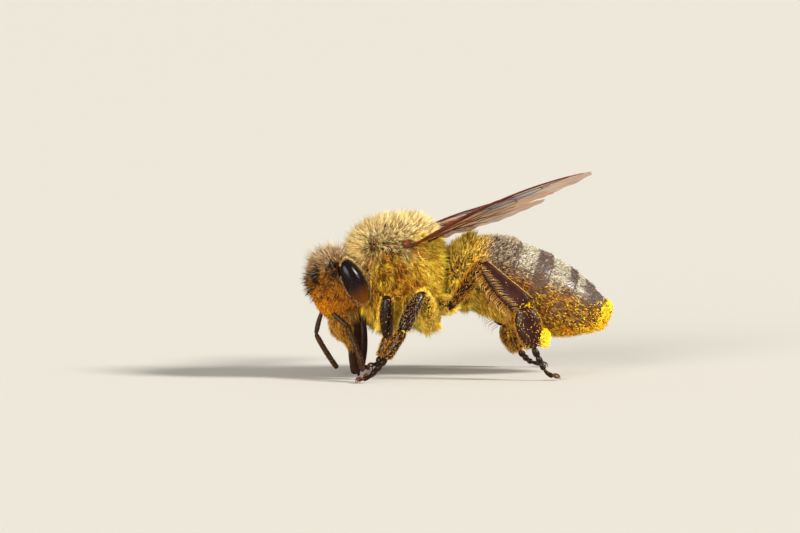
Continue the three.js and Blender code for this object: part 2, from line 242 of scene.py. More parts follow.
# ---------------------------------------------------------------- materials

def add(tree, kind, links=(), **settings):
    """Adds a node, sets its properties or input sockets by name, and links (socket, source) pairs."""
    node = tree.nodes.new(kind)
    for key, value in settings.items():
        if hasattr(node, key):
            setattr(node, key, value)
        else:
            node.inputs[key.replace("_", " ")].default_value = value
    for socket, source in links:
        tree.links.new(source, node.inputs[socket])
    return node


def new_material(name, surface):
    """A node material named name, whose last node, a shader, is what surface(tree) returns."""
    material = bpy.data.materials.new(name)
    material.use_nodes = True
    tree = material.node_tree
    tree.nodes.clear()
    add(tree, "ShaderNodeOutputMaterial", [("Surface", surface(tree).outputs["BSDF"])])
    return material


def grained(tree, size, low, high):
    """Noise with cells of size mm in object space, spread from low to high."""
    place = add(tree, "ShaderNodeTexCoord")
    noise = add(tree, "ShaderNodeTexNoise", [("Vector", place.outputs["Object"])],
                Scale=1 / (size * MM), Detail=3.0, Roughness=0.6)
    return add(tree, "ShaderNodeMapRange", [("Value", noise.outputs["Fac"])],
               From_Min=0.3, From_Max=0.7, To_Min=low, To_Max=high).outputs["Result"]


def pitted(tree, size):
    """A bump of rounded pits, size mm apart and a sixth as deep."""
    place = add(tree, "ShaderNodeTexCoord")
    cells = add(tree, "ShaderNodeTexVoronoi", [("Vector", place.outputs["Object"])],
                Scale=1 / (size * MM))
    return add(tree, "ShaderNodeBump", [("Height", cells.outputs["Distance"])],
               Strength=0.6, Distance=size / 6 * MM).outputs["Normal"]


def shell(name, colour, other, patch, roughness, pit, coat=0.0, specular=0.12):
    """Insect cuticle: two shades in patches of some size in mm, finely pitted, with a waxy gloss."""
    def surface(tree):
        shade = add(tree, "ShaderNodeMix", [("Factor", grained(tree, patch, 0, 1))], data_type="RGBA",
                    A=linear(colour), B=linear(other))
        return add(tree, "ShaderNodeBsdfPrincipled",
                   [("Base Color", shade.outputs["Result"]), ("Normal", pitted(tree, pit)),
                    ("Roughness", grained(tree, patch / 3, roughness * 0.8, roughness * 1.25))],
                   IOR=1.5, Specular_IOR_Level=specular, Coat_Weight=coat, Coat_Roughness=0.12)
    return new_material(name, surface)


def marked(name, pit=0.0, **settings):
    """A surface that takes its colours from the piece's own markings."""
    def surface(tree):
        marking = add(tree, "ShaderNodeAttribute", attribute_name="marking")
        links = [("Base Color", marking.outputs["Color"])]
        if pit:
            links.append(("Normal", pitted(tree, pit)))
        return add(tree, "ShaderNodeBsdfPrincipled", links, **settings)
    return new_material(name, surface)


# Real cuticle is pitted about every 0.01 mm, too fine to show, so pits are drawn 0.03 to 0.05 mm
# apart.

# Branched hair of chitin: matt and feathery, so it scatters light and hardly shines.
HAIR = marked("branched_chitin_hair", IOR=1.55, Roughness=0.5, Specular_IOR_Level=0.12)
# The cuticle under the coat: hardened skin with a fine leathery grain, seen only between hairs.
SKIN = marked("cuticle_under_coat", 0.03, IOR=1.55, Roughness=0.42, Specular_IOR_Level=0.2)
# Overlapping back plates: smooth waxed sclerotin with a broad gloss.
PLATE = marked("waxed_back_plate", 0.035, IOR=1.55, Roughness=0.3, Specular_IOR_Level=0.55)
# Wing skin: a film of chitin a few thousandths of a mm thick, clear with a smoky amber tint.
FILM = marked("wing_film", Roughness=0.3, IOR=1.45, Alpha=0.58)
# Wing veins: solid tanned tubes, dark red-brown.
VEIN = shell("wing_vein_sclerotin", "#34100a", "#64280f", 0.5, 0.35, 0.05)
# Legs: tanned sclerotin, nearly black with a brown glow and a satin shine.
DARK_SHELL = shell("tanned_dark_sclerotin", "#120703", "#260f06", 0.35, 0.24, 0.035, coat=0.08)
# Hinge plates, jaws and claws: less tanned, so reddish brown and clearer.
BROWN_SHELL = shell("tanned_red_sclerotin", "#34180a", "#6a3814", 0.25, 0.34, 0.03, coat=0.1)
# Tongue sheaths: long horny blades, polished brown.
TONGUE_SHELL = shell("horny_tongue_sheath", "#100604", "#2c1206", 0.3, 0.22, 0.05, coat=0.06)
# Feelers: horn worn brown, with fine pale sense pits that make it look speckled.
FEELER_SHELL = shell("speckled_feeler_sclerotin", "#0c0806", "#442c16", 0.09, 0.4, 0.04, coat=0.05)
# Basket and brush of the hind leg: the darkest horn, red-black and polished.
BASKET_SHELL = shell("polished_basket_sclerotin", "#160503", "#341008", 0.5, 0.36, 0.05, specular=0.18)
# Pollen: dry waxy grains, egg yellow to orange, quite matt.
POLLEN = shell("pollen_grains", "#ffe83a", "#f6b41c", 0.4, 0.75, 0.03)


# ---------------------------------------------------------------- head

HEAD_CENTRE = np.array([-5.2, -0.25, 4.17])
BOW, HEAD_TURN = math.radians(24), math.radians(12)
HEAD_AXES = np.array([
    [math.sin(HEAD_TURN), -math.cos(HEAD_TURN), 0],
    [-math.sin(BOW) * math.cos(HEAD_TURN), -math.sin(BOW) * math.sin(HEAD_TURN), math.cos(BOW)],
    [-math.cos(BOW) * math.cos(HEAD_TURN), -math.cos(BOW) * math.sin(HEAD_TURN), -math.sin(BOW)],
])  # left, up and forward
EYE = {"out": 1.3, "forward": -0.16, "bulge": 0.56, "half_height": 1.14, "half_length": 0.52}
EYE_LEAN = math.radians(4)
# How far the head reaches from its middle.
HEAD_HALF = {"side": 1.5, "crown": 1.36, "chin": 1.62, "face": 1.27, "nape": 0.75}
OCELLI = [(0.0, 0.92, 1.0), (0.3, 1.12, 0.72), (-0.3, 1.12, 0.72)]  # left, up, forward
HEAD_TAPER = profile([0.5, 0.86, 1, 0.98, 0.86])  # width of the head from chin to crown
# Swellings by direction, height and width: face plate, crown and the two feeler pits.
HEAD_SWELL = [([0, -0.5, 0.86], 0.1, 0.38), ([0, 0.8, 0.45], 0.05, 0.3),
              ([0.24, -0.14, 0.95], -0.07, 0.14), ([-0.24, -0.14, 0.95], -0.07, 0.14)]


def on_head(left, up, forward):
    """Places given from the middle of the head, as left, up and forward."""
    return HEAD_CENTRE + np.stack(np.broadcast_arrays(left, up, forward), -1) @ HEAD_AXES


def in_head(points):
    """Places in the world as left, up and forward of the middle of the head."""
    return (points - HEAD_CENTRE) @ HEAD_AXES.T


def on_eye(out, up, forward, side):
    """Places of an eye given in its own half sizes: the reverse of in_eye."""
    tall, deep = up * EYE["half_height"], forward * EYE["half_length"]
    cos, sin = math.cos(EYE_LEAN), math.sin(EYE_LEAN)
    return on_head(-side * (EYE["out"] + out * EYE["bulge"]),
                   tall * cos - deep * sin, EYE["forward"] + deep * cos + tall * sin)


def in_eye(points, side):
    """Places as out, up and forward in units of an eye's half sizes, with side -1 for the left."""
    own = in_head(points)
    up, forward = own[..., 1], own[..., 2] - EYE["forward"]
    cos, sin = math.cos(EYE_LEAN), math.sin(EYE_LEAN)
    return np.stack([(-own[..., 0] * side - EYE["out"]) / EYE["bulge"],
                     (up * cos + forward * sin) / EYE["half_height"],
                     (forward * cos - up * sin) / EYE["half_length"]], -1)


def head_skin(u, v):
    """An egg narrowed towards the mouth: v runs from crown to chin, and u = 0.5 is the face.

    Each half length is shorter than the solid's by the coat's depth there, and grows by the
    swellings, which are soft bumps over the ball."""
    up, level = np.cos(np.pi * v), np.sin(np.pi * v)
    fore = -level * np.cos(TURN * u)
    ball = np.stack([level * np.sin(TURN * u), up, fore], -1)
    half = np.stack([HEAD_HALF["side"] * HEAD_TAPER((1 + up) / 2),
                     np.where(up > 0, HEAD_HALF["crown"], HEAD_HALF["chin"]),
                     np.where(fore > 0, HEAD_HALF["face"], HEAD_HALF["nape"])], -1)
    swell = 1 + sum(high * dome(distance(ball, unit(np.array(way))), wide)
                    for way, high, wide in HEAD_SWELL)
    return HEAD_CENTRE + (ball * half * swell[..., None]) @ HEAD_AXES


# ---------------------------------------------------------------- thorax

THORAX_CENTRE = np.array([-2.55, 0.0, 4.5])
# How far the thorax reaches from its middle.
THORAX_HALF = {"rear": 1.68, "front": 2.0, "side": 1.68, "top": 2.22, "below": 2.0}
SQUARE = 2.45  # 2 is a plain egg, more is squarer
THORAX_REACH = 2.2  # the unit of in_thorax


def in_thorax(points):
    """Places as back, side (either one) and up from the thorax's middle, about 1 at its skin."""
    back, side, up = ((points - THORAX_CENTRE) / THORAX_REACH).T
    return back, np.abs(side), up


def thorax_skin(u, v):
    """A squarish egg, v from the neck to the waist and u = 0.5 along the back.

    A point of the ball moves out by (|x|^q + |y|^q + |z|^q)^(-1/q), then by half lengths that
    are shorter than the solid's by the coat's depth. The scutellum is a cushion at the back,
    with a groove before it."""
    back, level = -np.cos(np.pi * v), np.sin(np.pi * v)
    up = -level * np.cos(TURN * u)
    ball = np.stack([back, -level * np.sin(TURN * u), up], -1)
    square = (np.abs(ball) ** SQUARE).sum(-1) ** (-1 / SQUARE)
    half = np.stack([np.where(back > 0, THORAX_HALF["rear"], THORAX_HALF["front"]),
                     np.full_like(back, THORAX_HALF["side"]),
                     np.where(up > 0, THORAX_HALF["top"], THORAX_HALF["below"])], -1)
    swell = (1 + 0.09 * dome(distance(ball, [0.62, 0, 0.78]), 0.38)
             - 0.03 * dome(distance(ball, [0.3, 0, 0.95]), 0.14))
    return THORAX_CENTRE + ball * half * (square * swell)[..., None]


# ---------------------------------------------------------------- abdomen

ABDOMEN_AXIS = profile([
    [-0.75, 0, 4.2], [1.3, 0, 4.35], [3.2, 0, 3.82], [5.05, 0, 3.15], [6.82, 0, 2.6]])
ABDOMEN_BACK = profile([1.35, 2.05, 2.0, 1.8, 1.56, 1.16, 0.5])
ABDOMEN_BELLY = profile([1.3, 1.75, 1.95, 2.02, 1.9, 1.45, 0.7])
ABDOMEN_HALF = profile([1.25, 1.85, 2.1, 2.12, 1.92, 1.42, 0.7])
COAT_ABOVE = profile([0.62, 0.55, 0.24, 0.1, 0.08, 0.08, 0.1])  # coat depth along the back
COAT_BELOW = profile([0.45, 0.4, 0.36, 0.34, 0.32, 0.3, 0.2])  # and along the sides and belly
MARGINS = [0.03, 0.19, 0.378, 0.563, 0.73, 0.86, 0.985]  # hind edges of the back plates
PLATES = len(MARGINS) - 1
MARGIN_LEAN = 0.03  # how far the edges run forward on the sides
EDGE_STEP = 0.06  # how high a plate's hind edge stands over the next plate
CORE_SINK = 0.08  # how far the skin lies under the plates
TAIL_DOME = 0.11  # how far the tail's end bulges


def abdomen_skin(s, above, rise=0.0):
    """Sections square to an arched axis: s runs from waist to tail and above is the angle from
    the back's midline, with +90 degrees on the right.

    Heights above and below the axis and half widths are smooth profiles, less the coat's depth
    and plus rise. They are drawn in as (1 - s^9)^(1/9) at the tail, and as a quarter of an oval
    over the first sixth at the waist."""
    step = 1e-3
    tangent = unit(ABDOMEN_AXIS(np.minimum(s + step, 1)) - ABDOMEN_AXIS(np.maximum(s - step, 0)))
    up = np.stack([-tangent[..., 2], np.zeros_like(s), tangent[..., 0]], -1)
    low = ease(np.abs(above), math.radians(35), math.radians(115))
    depth = COAT_ABOVE(s) * (1 - low) + COAT_BELOW(s) * low
    lift = np.cos(above)
    height = np.where(lift > 0, ABDOMEN_BACK(s), ABDOMEN_BELLY(s)) - depth + rise
    width = ABDOMEN_HALF(s) - depth + rise
    tail = (1 - np.clip(s, 0, 0.9999) ** 9) ** (1 / 9)
    waist = 0.2 + 0.8 * np.sqrt(1 - np.clip(1 - s / 0.16, 0, 1) ** 2)
    across = np.array([0.0, 1.0, 0.0])
    section = up * (lift * height)[..., None] + across * (np.sin(above) * width)[..., None]
    return ABDOMEN_AXIS(s) + (tail * waist)[..., None] * section


def margin(i, above):
    """Where a plate's hind edge lies, at each angle from the back's midline."""
    return MARGINS[i] - MARGIN_LEAN * (1 - np.cos(above)) * min(i, 1)


def along_plates(s, above):
    """For each place, its plate's number and how far along that plate it is, from 0 to 1."""
    edges = np.stack([margin(i, above) for i in range(PLATES + 1)], -1)
    number = np.clip((s[..., None] >= edges).sum(-1) - 1, 0, PLATES - 1)
    start, end = (np.take_along_axis(edges, number[..., None] + k, -1)[..., 0] for k in (0, 1))
    return number, np.clip((s - start) / (end - start), 0, 1)


def plated_skin(u, v):
    """The abdomen's surface with its plates, each rising to its hind edge: u = 0.5 is the back."""
    above = TURN * (u - 0.5)
    return abdomen_skin(v, above, EDGE_STEP * along_plates(v, above)[1])


def core_skin(u, v):
    """The abdomen's skin under its plates."""
    return abdomen_skin(v, TURN * (u - 0.5), -CORE_SINK)


def tail_cap(u, v):
    """The tail's blunt end: a low dome from the last section's rim, v = 0, to its middle, v = 1.

    A place is middle + (rim - middle) cos(pi v / 2) + backward * height * sin(pi v / 2)."""
    last = np.full_like(v, MARGINS[-1])
    middle = ABDOMEN_AXIS(last)
    rim = abdomen_skin(last, TURN * (u % 1 - 0.5), EDGE_STEP)
    backward = unit(middle - ABDOMEN_AXIS(last - 0.01))
    inward, outward_share = np.cos(np.pi / 2 * v)[..., None], np.sin(np.pi / 2 * v)[..., None]
    return middle + (rim - middle) * inward + backward * TAIL_DOME * outward_share


# ---------------------------------------------------------------- markings

# Colours of hairs by name, at root and tip. The roots are darker than the tips, partly as painted shade
# deep in the coat.
TONE = {name: (linear(root), linear(tip)) for name, root, tip in (
    ("beige", "#5e3c14", "#eac080"), ("cream", "#946428", "#e6bc76"), ("gold", "#462004", "#f6a42c"),
    ("swirl", "#160a02", "#985612"), ("yellow", "#ea9c1c", "#ffcc48"), ("straw", "#f09c18", "#ffca4c"),
    ("grey", "#382c24", "#aa967c"), ("brown", "#4c2806", "#b87828"), ("orange", "#c06a08", "#ff9e1e"),
    ("black", "#3c3028", "#8c7666"), ("felt", "#4a3e26", "#ead8b4"), ("side", "#281404", "#e09234"),
    ("pale", "#f8b434", "#ffdc60"), ("ash", "#160c08", "#8c7250"), ("waist", "#e69c1c", "#ffcc4c"),
    ("spot", "#0a0604", "#0a0604"), ("guard", "#241206", "#4e2c10"), ("lens", "#2c1a10", "#8a6238"),
    ("fringe", "#5e4a20", "#e8cc88"), ("inner", "#6a4a28", "#c8a272"), ("brow", "#5a3c20", "#c09a60"),
    ("under", "#5a3410", "#cc9048"), ("amber", "#6a3808", "#eca63c"), ("feeler", "#2a1608", "#b88444"),
    ("strand", "#5a360e", "#bc8840"), ("basket", "#8a5620", "#fcc468"))}
GUARD_PALE = linear("#ecd2a4")
PLATE_DARK, PLATE_BROWN, PLATE_AMBER = (linear(shade) for shade in ("#4c4038", "#4a3c2e", "#4e2a0c"))


def painted(base, *layers):
    """Root and tip colours: a base tone, over which each (tone, share) is mixed in turn."""
    colours = []
    for end in (0, 1):
        shade = TONE[base][end]
        for tone, share in layers:
            shade = mixed(shade, TONE[tone][end], share)
        colours.append(shade)
    return colours


def thorax_marks(points):
    """Beige on the back, golden brown with dark swirls on the sides, yellow behind, straw below
    and cream round the neck."""
    back, side, up = in_thorax(points)
    wave = 0.12 * ripple(points, 1.3, 11)
    top = ease(up + wave, 0.2, 0.62)
    rear = ease(back + wave, 0.05, 0.4) * (1 - ease(up, 0.62, 0.85))
    below = ease(-up + wave, 0.35, 0.75)
    neck = ease(-back + wave, 0.55, 0.8) * ease(up, -0.5, -0.1)
    swirl = ease(ripple(points, 0.42, 12), -0.1, 0.5) * ease(side, 0.4, 0.7)
    swirl = swirl * (1 - top) * (1 - 0.8 * rear)
    return painted("gold", ("beige", top), ("yellow", rear), ("straw", below), ("cream", neck * 0.8),
                   ("swirl", swirl * 0.85 * (1 - 0.7 * below)))


# Dark spots round the small eyes and above each eye's inner edge: left, up, forward and radius.
DARK_SPOTS = [(way * left, up, forward, radius) for left, up, forward, radius in (
    (0.4, 0.82, 0.95, 0.3), (0.9, 0.98, 0.3, 0.18), (1.12, 0.62, 0.38, 0.14)) for way in (1, -1)]


def head_marks(points):
    """Brown on brow and crown, orange on the face, brown at the mouth, cream behind the eyes,
    and the dark spots."""
    own = in_head(points)
    side, up, fore = np.abs(own[:, 0]), own[:, 1], own[:, 2]
    wave = 0.12 * ripple(points, 0.8, 21)
    face = ease(-up + wave, -0.55, 0.0) * ease(fore, 0.0, 0.5)
    cheek = ease(side, 0.45, 0.95) * ease(fore, 0.2, 0.5)
    dark = np.max([1 - ease(distance(own, place), radius * 0.8, radius * 1.5)
                   for *place, radius in DARK_SPOTS], 0)
    # The orange over the lower face is partly the hair's own colour and partly painted warm light from
    # below.
    return painted("brown", ("orange", face * (1 - 0.5 * cheek)),
                   ("brown", ease(-up + wave, 0.95, 1.35) * 0.6),
                   ("grey", ease(up + wave, 0.8, 1.2) * 0.45),
                   ("cream", ease(-fore + wave, 0.3, 0.5)), ("spot", dark * 0.95))


FELTED = np.array([0, 0, 0.5, 0.62, 0.42, 0])  # share of each plate under pale felt


def abdomen_marks(s, above):
    """Root and tip colours of the abdomen's coat, and how much of it is felt, plate by plate.

    The first plate is golden, the second grey-brown. The next three begin with a band of cream
    felt over a share of their length. Sides and belly are golden brown, orange below behind (partly
    the hair's own colour and partly painted warm light from below), yellow below in front, and
    darker on the flanks where the hind legs pass, which is painted shade."""
    number, share = along_plates(s, above)
    around = np.abs(above)
    low = ease(around, math.radians(58), math.radians(88))
    belly = ease(around, math.radians(120), math.radians(150))
    spread = np.stack([s * 10, above * 2, s * 0], -1)
    felted = FELTED[number] + 0.03 * ripple(spread, 0.5, 41) * (FELTED[number] > 0)
    felt = np.where(felted > 0, 1 - ease(share, felted - 0.05, felted + 0.05), 0)
    first = 1.0 * (number == 0) + (number == 1) * (1 - ease(share, 0.0, 0.45))
    # Painted shade: a dark patch on the lower sides, where the hind legs shade the abdomen.
    flank = dome(s - 0.28, 0.14) * dome(around - 1.85, 0.5)
    groin = belly * (1 - ease(s, 0.32, 0.44))
    back = painted("black", ("felt", felt), ("grey", 1.0 * (number == 1)), ("waist", first * 0.85))
    # Under the rear belly, the orange is partly the hair's own colour and partly painted warm light
    # from below. The swirl tone over the flank mask is painted shade.
    sides = painted("side", ("yellow", 0.1 * ease(ripple(spread, 0.55, 42), -0.2, 0.8)),
                    ("orange", belly * ease(s, 0.4, 0.6)), ("waist", np.maximum(first, 0.7 * groin)),
                    ("swirl", 0.95 * flank * (1 - first)))
    return *(mixed(upper, lower, low) for upper, lower in zip(back, sides)), felt


def tail_marks(points):
    """The tail's end: dark above, and orange below, which is partly painted warm light from below."""
    return painted("black", ("orange", 1 - ease(points[:, 2], 2.5, 2.9)))


# ---------------------------------------------------------------- hair

# Real hairs are about 0.01 mm thick and feathered. These are plain spikes, one to four times as
# thick at the root, because there are fewer of them.

PATCH = 0.003  # width of a hair's patch on the bake map
SPIKE_SIDES = TURN / 3 * np.arange(3)[:, None]
# A bent hair's seven corners and a straight one's four: faces, places in the hair's patch of the
# bake map, and the share of the tip's colour.
BENT = (
    [np.array([[0, 2, 1]]), np.array([[0, 1, 4, 3], [1, 2, 5, 4], [2, 0, 3, 5]]),
     np.array([[3, 4, 6], [4, 5, 6], [5, 3, 6]])],
    np.array([[0, 0], [.5, 0], [1, 0], [0, .5], [.5, .5], [1, .5], [.5, 1]]),
    np.array([0, 0, 0, 0.55, 0.55, 0.55, 1]))
STRAIGHT = (
    [np.array([[0, 2, 1]]), np.array([[0, 1, 3], [1, 2, 3], [2, 0, 3]])],
    np.array([[0, 0], [.5, 0], [1, 0], [.5, 1]]),
    np.array([0, 0, 0, 1]))
ROOT_SINK = 0.02  # how deep a coat's hairs are rooted


def spikes(roots, first, second, length, radius, shades, uv, rng, bent=True):
    """Hairs as three-sided spikes from their roots, along first and then, if bent, along second.

    A bent one has a triangle at the root, a smaller one half way and a point. shades holds the
    root's and tip's colour of each hair. Returns the shape, the colours by vertex and the bake
    patches by corner."""
    pattern, patch, blend = BENT if bent else STRAIGHT
    count = len(roots)
    side = unit(np.cross(first, unit(rng.normal(size=(count, 3)))))
    other = np.cross(first, side)
    spokes = side[:, None] * np.cos(SPIKE_SIDES) + other[:, None] * np.sin(SPIKE_SIDES)
    spokes = spokes * np.broadcast_to(radius, count)[:, None, None]
    long = length[:, None]
    if bent:
        middle = roots + first * long * 0.5
        tip = middle + second * long * 0.5
        corners = [roots[:, None] + spokes, middle[:, None] + spokes * 0.8, tip[:, None]]
    else:
        corners = [roots[:, None] + spokes, (roots + first * long)[:, None]]
    verts = np.concatenate(corners, 1)
    blend = blend[None, :, None]
    colours = shades[0][:, None] * (1 - blend) + shades[1][:, None] * blend
    start = np.arange(count)[:, None, None] * verts.shape[1]
    faces = [(group[None] + start).reshape(-1, group.shape[1]) for group in pattern]
    places = ((uv * (1 - PATCH))[:, None] + PATCH * patch[None]).reshape(-1, 2)
    patches = places[np.concatenate([group.ravel() for group in faces])]
    return (verts.reshape(-1, 3), faces), colours.reshape(-1, 4), patches


def varied(tones, count, spread, rng):
    """Root and tip colours of hairs whose brightness differs by a lognormal factor."""
    bright = np.exp(rng.normal(size=(count, 1)) * spread) * [1, 1, 1, 0] + [0, 0, 0, 1]
    return tones[0] * bright, np.clip(tones[1] * bright, 0, 1)


def surface_frame(skin, u, v):
    """Place, outward normal and the two tangents of a skin, by small steps in u and v."""
    step = 1e-3
    place = skin(u, v)
    along_u = (skin(u + step, v) - skin(u - step, v)) / (2 * step)
    low, high = np.maximum(v - step, 0), np.minimum(v + step, 1)
    along_v = (skin(u, high) - skin(u, low)) / (high - low)[:, None]
    normal = unit(np.cross(along_u, along_v))
    if np.einsum("ij,ij->i", normal, place - place.mean(0)).mean() < 0:
        normal = -normal
    return place, normal, along_u, along_v


def coat(skin, count, style, rng, window=(0, 1, 0, 1), tuft=8, spread=0.04, bent=True):
    """A coat over a window of a skin, in tufts whose roots spread a little and whose tips meet.

    Tuft places are drawn evenly by area times style's density. Each hair sets out between the
    normal and the lie of the coat, as style's lift says, and ends along the lie and a droop.
    Tufts differ in brightness by a lognormal factor and a share of them is dim. One hair in
    twelve is a longer, finer guard hair that stands by itself. style(place, u, v) returns
    single values or arrays."""
    low_u, high_u, low_v, high_v = window
    draws = count * 2
    u = rng.uniform(low_u, high_u, draws)
    v = rng.uniform(low_v, high_v, draws)
    place, normal, along_u, along_v = surface_frame(skin, u, v)
    area = np.linalg.norm(np.cross(along_u, along_v), axis=1)
    weight = area * style(place, u, v)["density"]
    picked = rng.choice(draws, count // tuft, p=weight / weight.sum())
    of_tuft = np.repeat(picked, tuft)
    count = len(of_tuft)
    shift = rng.normal(size=(count, 2)) * spread
    u2 = u[of_tuft] + shift[:, 0] / np.linalg.norm(along_u[of_tuft], axis=1)
    v2 = np.clip(v[of_tuft] + shift[:, 1] / np.linalg.norm(along_v[of_tuft], axis=1), 0.002, 0.998)
    place, normal, _, _ = surface_frame(skin, u2, v2)
    look = {"swirl": 0.0, "guard": 1 / 12, "contrast": 0.28, "dim": 0.25, **style(place, u2, v2)}
    turned, lift, mess, droop = (
        np.broadcast_to(look[key], count)[:, None] for key in ("swirl", "lift", "mess", "droop"))
    keep = rng.random(count) < np.clip(look["density"] * 3, 0, 1)
    flow = np.broadcast_to(look["flow"], normal.shape)
    flow = unit(flow - normal * np.einsum("ij,ij->i", flow, normal)[:, None])
    flow = flow * np.cos(turned) + np.cross(normal, flow) * np.sin(turned)
    guard = 1.0 * (rng.random(count) < look["guard"])
    tuft_mess = np.repeat(rng.normal(size=(len(picked), 3)), tuft, 0) * mess
    tuft_length = np.repeat(rng.uniform(0.75, 1.15, len(picked)), tuft)
    length = look["length"] * tuft_length * rng.uniform(0.75, 1.05, count) * (1 + 0.35 * guard)
    meet = (skin(u[of_tuft], v[of_tuft]) - place) / np.maximum(length, 0.05)[:, None]
    meet *= (1 - guard)[:, None]
    stray = rng.normal(size=(count, 3)) * (0.06 + 0.1 * guard)[:, None]
    first = unit(normal * lift + flow * (1 - lift) + tuft_mess + stray + meet * 0.7)
    second = unit(first + (flow - 0.3 * UPWARD) * droop + meet)
    dim = rng.random(len(picked)) < look["dim"]
    bright = np.exp(rng.normal(size=len(picked)) * look["contrast"]) * (1 - 0.6 * dim)
    bright = (np.repeat(bright, tuft) * np.exp(rng.normal(size=count) * 0.25))[:, None]
    tinted = np.concatenate([np.repeat(bright, 3, 1), np.ones((count, 1))], 1)
    root, tip = look["root"] * tinted, np.clip(look["tip"] * tinted, 0, 1)
    uv = np.stack([(u2 - low_u) / (high_u - low_u), (v2 - low_v) / (high_v - low_v)], -1)
    radius = look["radius"] * rng.uniform(0.75, 1.15, count) * (1 - 0.3 * guard)
    return spikes((place - normal * ROOT_SINK)[keep], first[keep], second[keep], length[keep],
                  radius[keep], (root[keep], tip[keep]), np.clip(uv, 0, 1)[keep], rng, bent)


def coat_piece(name, made):
    """Hairs as one object, from a list of what spikes() returns."""
    shapes, colours, patches = zip(*made)
    piece(name, joined(shapes), HAIR, colours=np.concatenate(colours),
          patches=np.concatenate(patches))


# Thin places on the thorax's sides, before the wing and at its hinge: x and z, how much is bare,
# how wide, how much wider than high, and from how far out on the side.
THIN_PLACES = ((-3.6, 5.9, 0.6, 0.34, 1.0, 0.4), (-2.15, 5.6, 0.85, 0.32, 1.1, 0.45))


def thorax_style(place, u, v):
    """Erect on the back, swept back and down with swirls on the sides, long and hanging below."""
    back, side, up = in_thorax(place)
    root, tip = thorax_marks(place)
    below = ease(-up, 0.3, 0.75)
    front = ease(-back, 0.45, 0.75) * ease(up, 0.0, 0.3)
    flank = ease(side, 0.35, 0.65) * (1 - below) * (1 - ease(up, 0.45, 0.75))
    density = 1.0
    for x, z, bare, wide, flat, edge in THIN_PLACES:
        gap = np.linalg.norm((place - [x, 0, z]) * [1, 0, flat], axis=1)
        density = density * (1 - bare * dome(gap, wide) * ease(side, edge, 0.6))
    lie = BACKWARD * (0.9 - 0.5 * below - 1.1 * front)[:, None]
    return {
        "root": root, "tip": tip, "density": density,
        "length": 0.6 - 0.08 * flank + 0.14 * below + 0.08 * front,
        "lift": 0.84 - 0.4 * flank - 0.3 * below + 0.1 * front,
        "flow": lie - UPWARD * (0.2 + 0.9 * flank + below)[:, None],
        "swirl": 1.3 * flank * ripple(place, 0.8, 31), "mess": 0.13 + 0.13 * flank,
        "radius": 0.0128 + 0.002 * flank, "droop": 0.2 + 0.5 * flank + 0.3 * below - 0.15 * front,
        "contrast": 0.34 + 0.12 * flank.mean(), "dim": 0.18,
    }


def head_style(place, u, v):
    """Erect on crown and brow, short and forward-lying on the face. The eyes, the small eyes, the
    feeler pits and the nape stay bare, and the dark spots are thinly haired."""
    own = in_head(place)
    side, up, fore = np.abs(own[:, 0]), own[:, 1], own[:, 2]
    root, tip = head_marks(place)
    crown = ease(up, 0.3, 0.9)
    eyes = np.prod([ease(distance(in_eye(place, way), 0), 1.0, 1.12) for way in SIDES.values()], 0)
    pits = 1 - dome(np.hypot(side - 0.28, up + 0.72) + np.where(fore > 0, 0, 9), 0.16)
    small_eyes = np.prod([1 - dome(distance(own, middle), 0.16) for middle in OCELLI], 0)
    nape = 1 - ease(-fore, 0.62, 0.72)
    spot = np.max([dome(distance(own, middle), radius) for *middle, radius in DARK_SPOTS], 0)
    return {
        "root": root, "tip": tip, "density": eyes * pits * small_eyes * nape * (1 - 0.5 * spot),
        "length": (0.22 + 0.16 * crown) * (1 - 0.65 * spot), "lift": 0.46 + 0.4 * crown,
        "flow": -HEAD_AXES[1] * (1 - 0.7 * crown)[:, None] + HEAD_AXES[2] * 0.35,
        "swirl": 0.45 * ripple(place, 0.6, 32), "mess": 0.13, "radius": 0.0105, "droop": 0.3,
        "contrast": 0.26, "dim": 0.1,
    }


def brow_guards(place, u, v):
    """Long single hairs over the head coat, dark with pale tips, that stand out all round the
    crown, the brow and the front of the face."""
    look = head_style(place, u, v)
    up = in_head(place)[:, 1]
    high = ease(up, -0.6, 0.7)
    look.update(
        root=TONE["guard"][0], tip=mixed(TONE["guard"][1], GUARD_PALE, 0.85 * ease(up, 0.6, 1.1)),
        length=0.38 + 0.12 * high + 0.24 * ease(up, 0.8, 1.3), lift=0.82 + 0.12 * high, mess=0.1,
        radius=0.0092, droop=0.12, guard=0.0, contrast=0.3,
        density=look["density"] * (0.15 + ease(up, -0.5, 0.3)))
    return look


def abdomen_style(place, u, v):
    """Long golden hair on the first plate, short upright hair on the second, felt on the bands,
    and longer hair lying backward on sides and belly."""
    above = TURN * (u - 0.5)
    number, share = along_plates(v, above)
    root, tip, felt = abdomen_marks(v, above)
    low = ease(np.abs(above), math.radians(50), math.radians(90))
    belly = ease(np.abs(above), math.radians(110), math.radians(150))
    first = 1.0 * (number == 0)
    second = (number == 1) * (1 - ease(share, 0.8, 0.95))
    length = (0.14 + 0.1 * second) * (1 - low) + (0.24 + 0.1 * belly) * low
    dense = np.clip(felt + 0.5 * low + first + second * 0.45, 0.3, 1)
    return {
        "root": root, "tip": tip, "density": dense * (1 - ease(v, 0.96, 0.995)) * ease(v, 0.0, 0.05),
        "length": length * (1 - first) + (0.55 - 0.12 * low) * first,
        "lift": 0.34 + 0.2 * second * (1 - low) + 0.04 * low + 0.28 * first,
        "flow": BACKWARD - UPWARD * (0.35 * low)[:, None],
        "swirl": 0.3 * ripple(place, 0.7, 33), "mess": 0.1 + 0.04 * low,
        "radius": 0.013 + 0.002 * np.maximum(first, low), "droop": 0.1 + 0.25 * low + 0.1 * first,
        "contrast": 0.48, "dim": 0.3,
    }


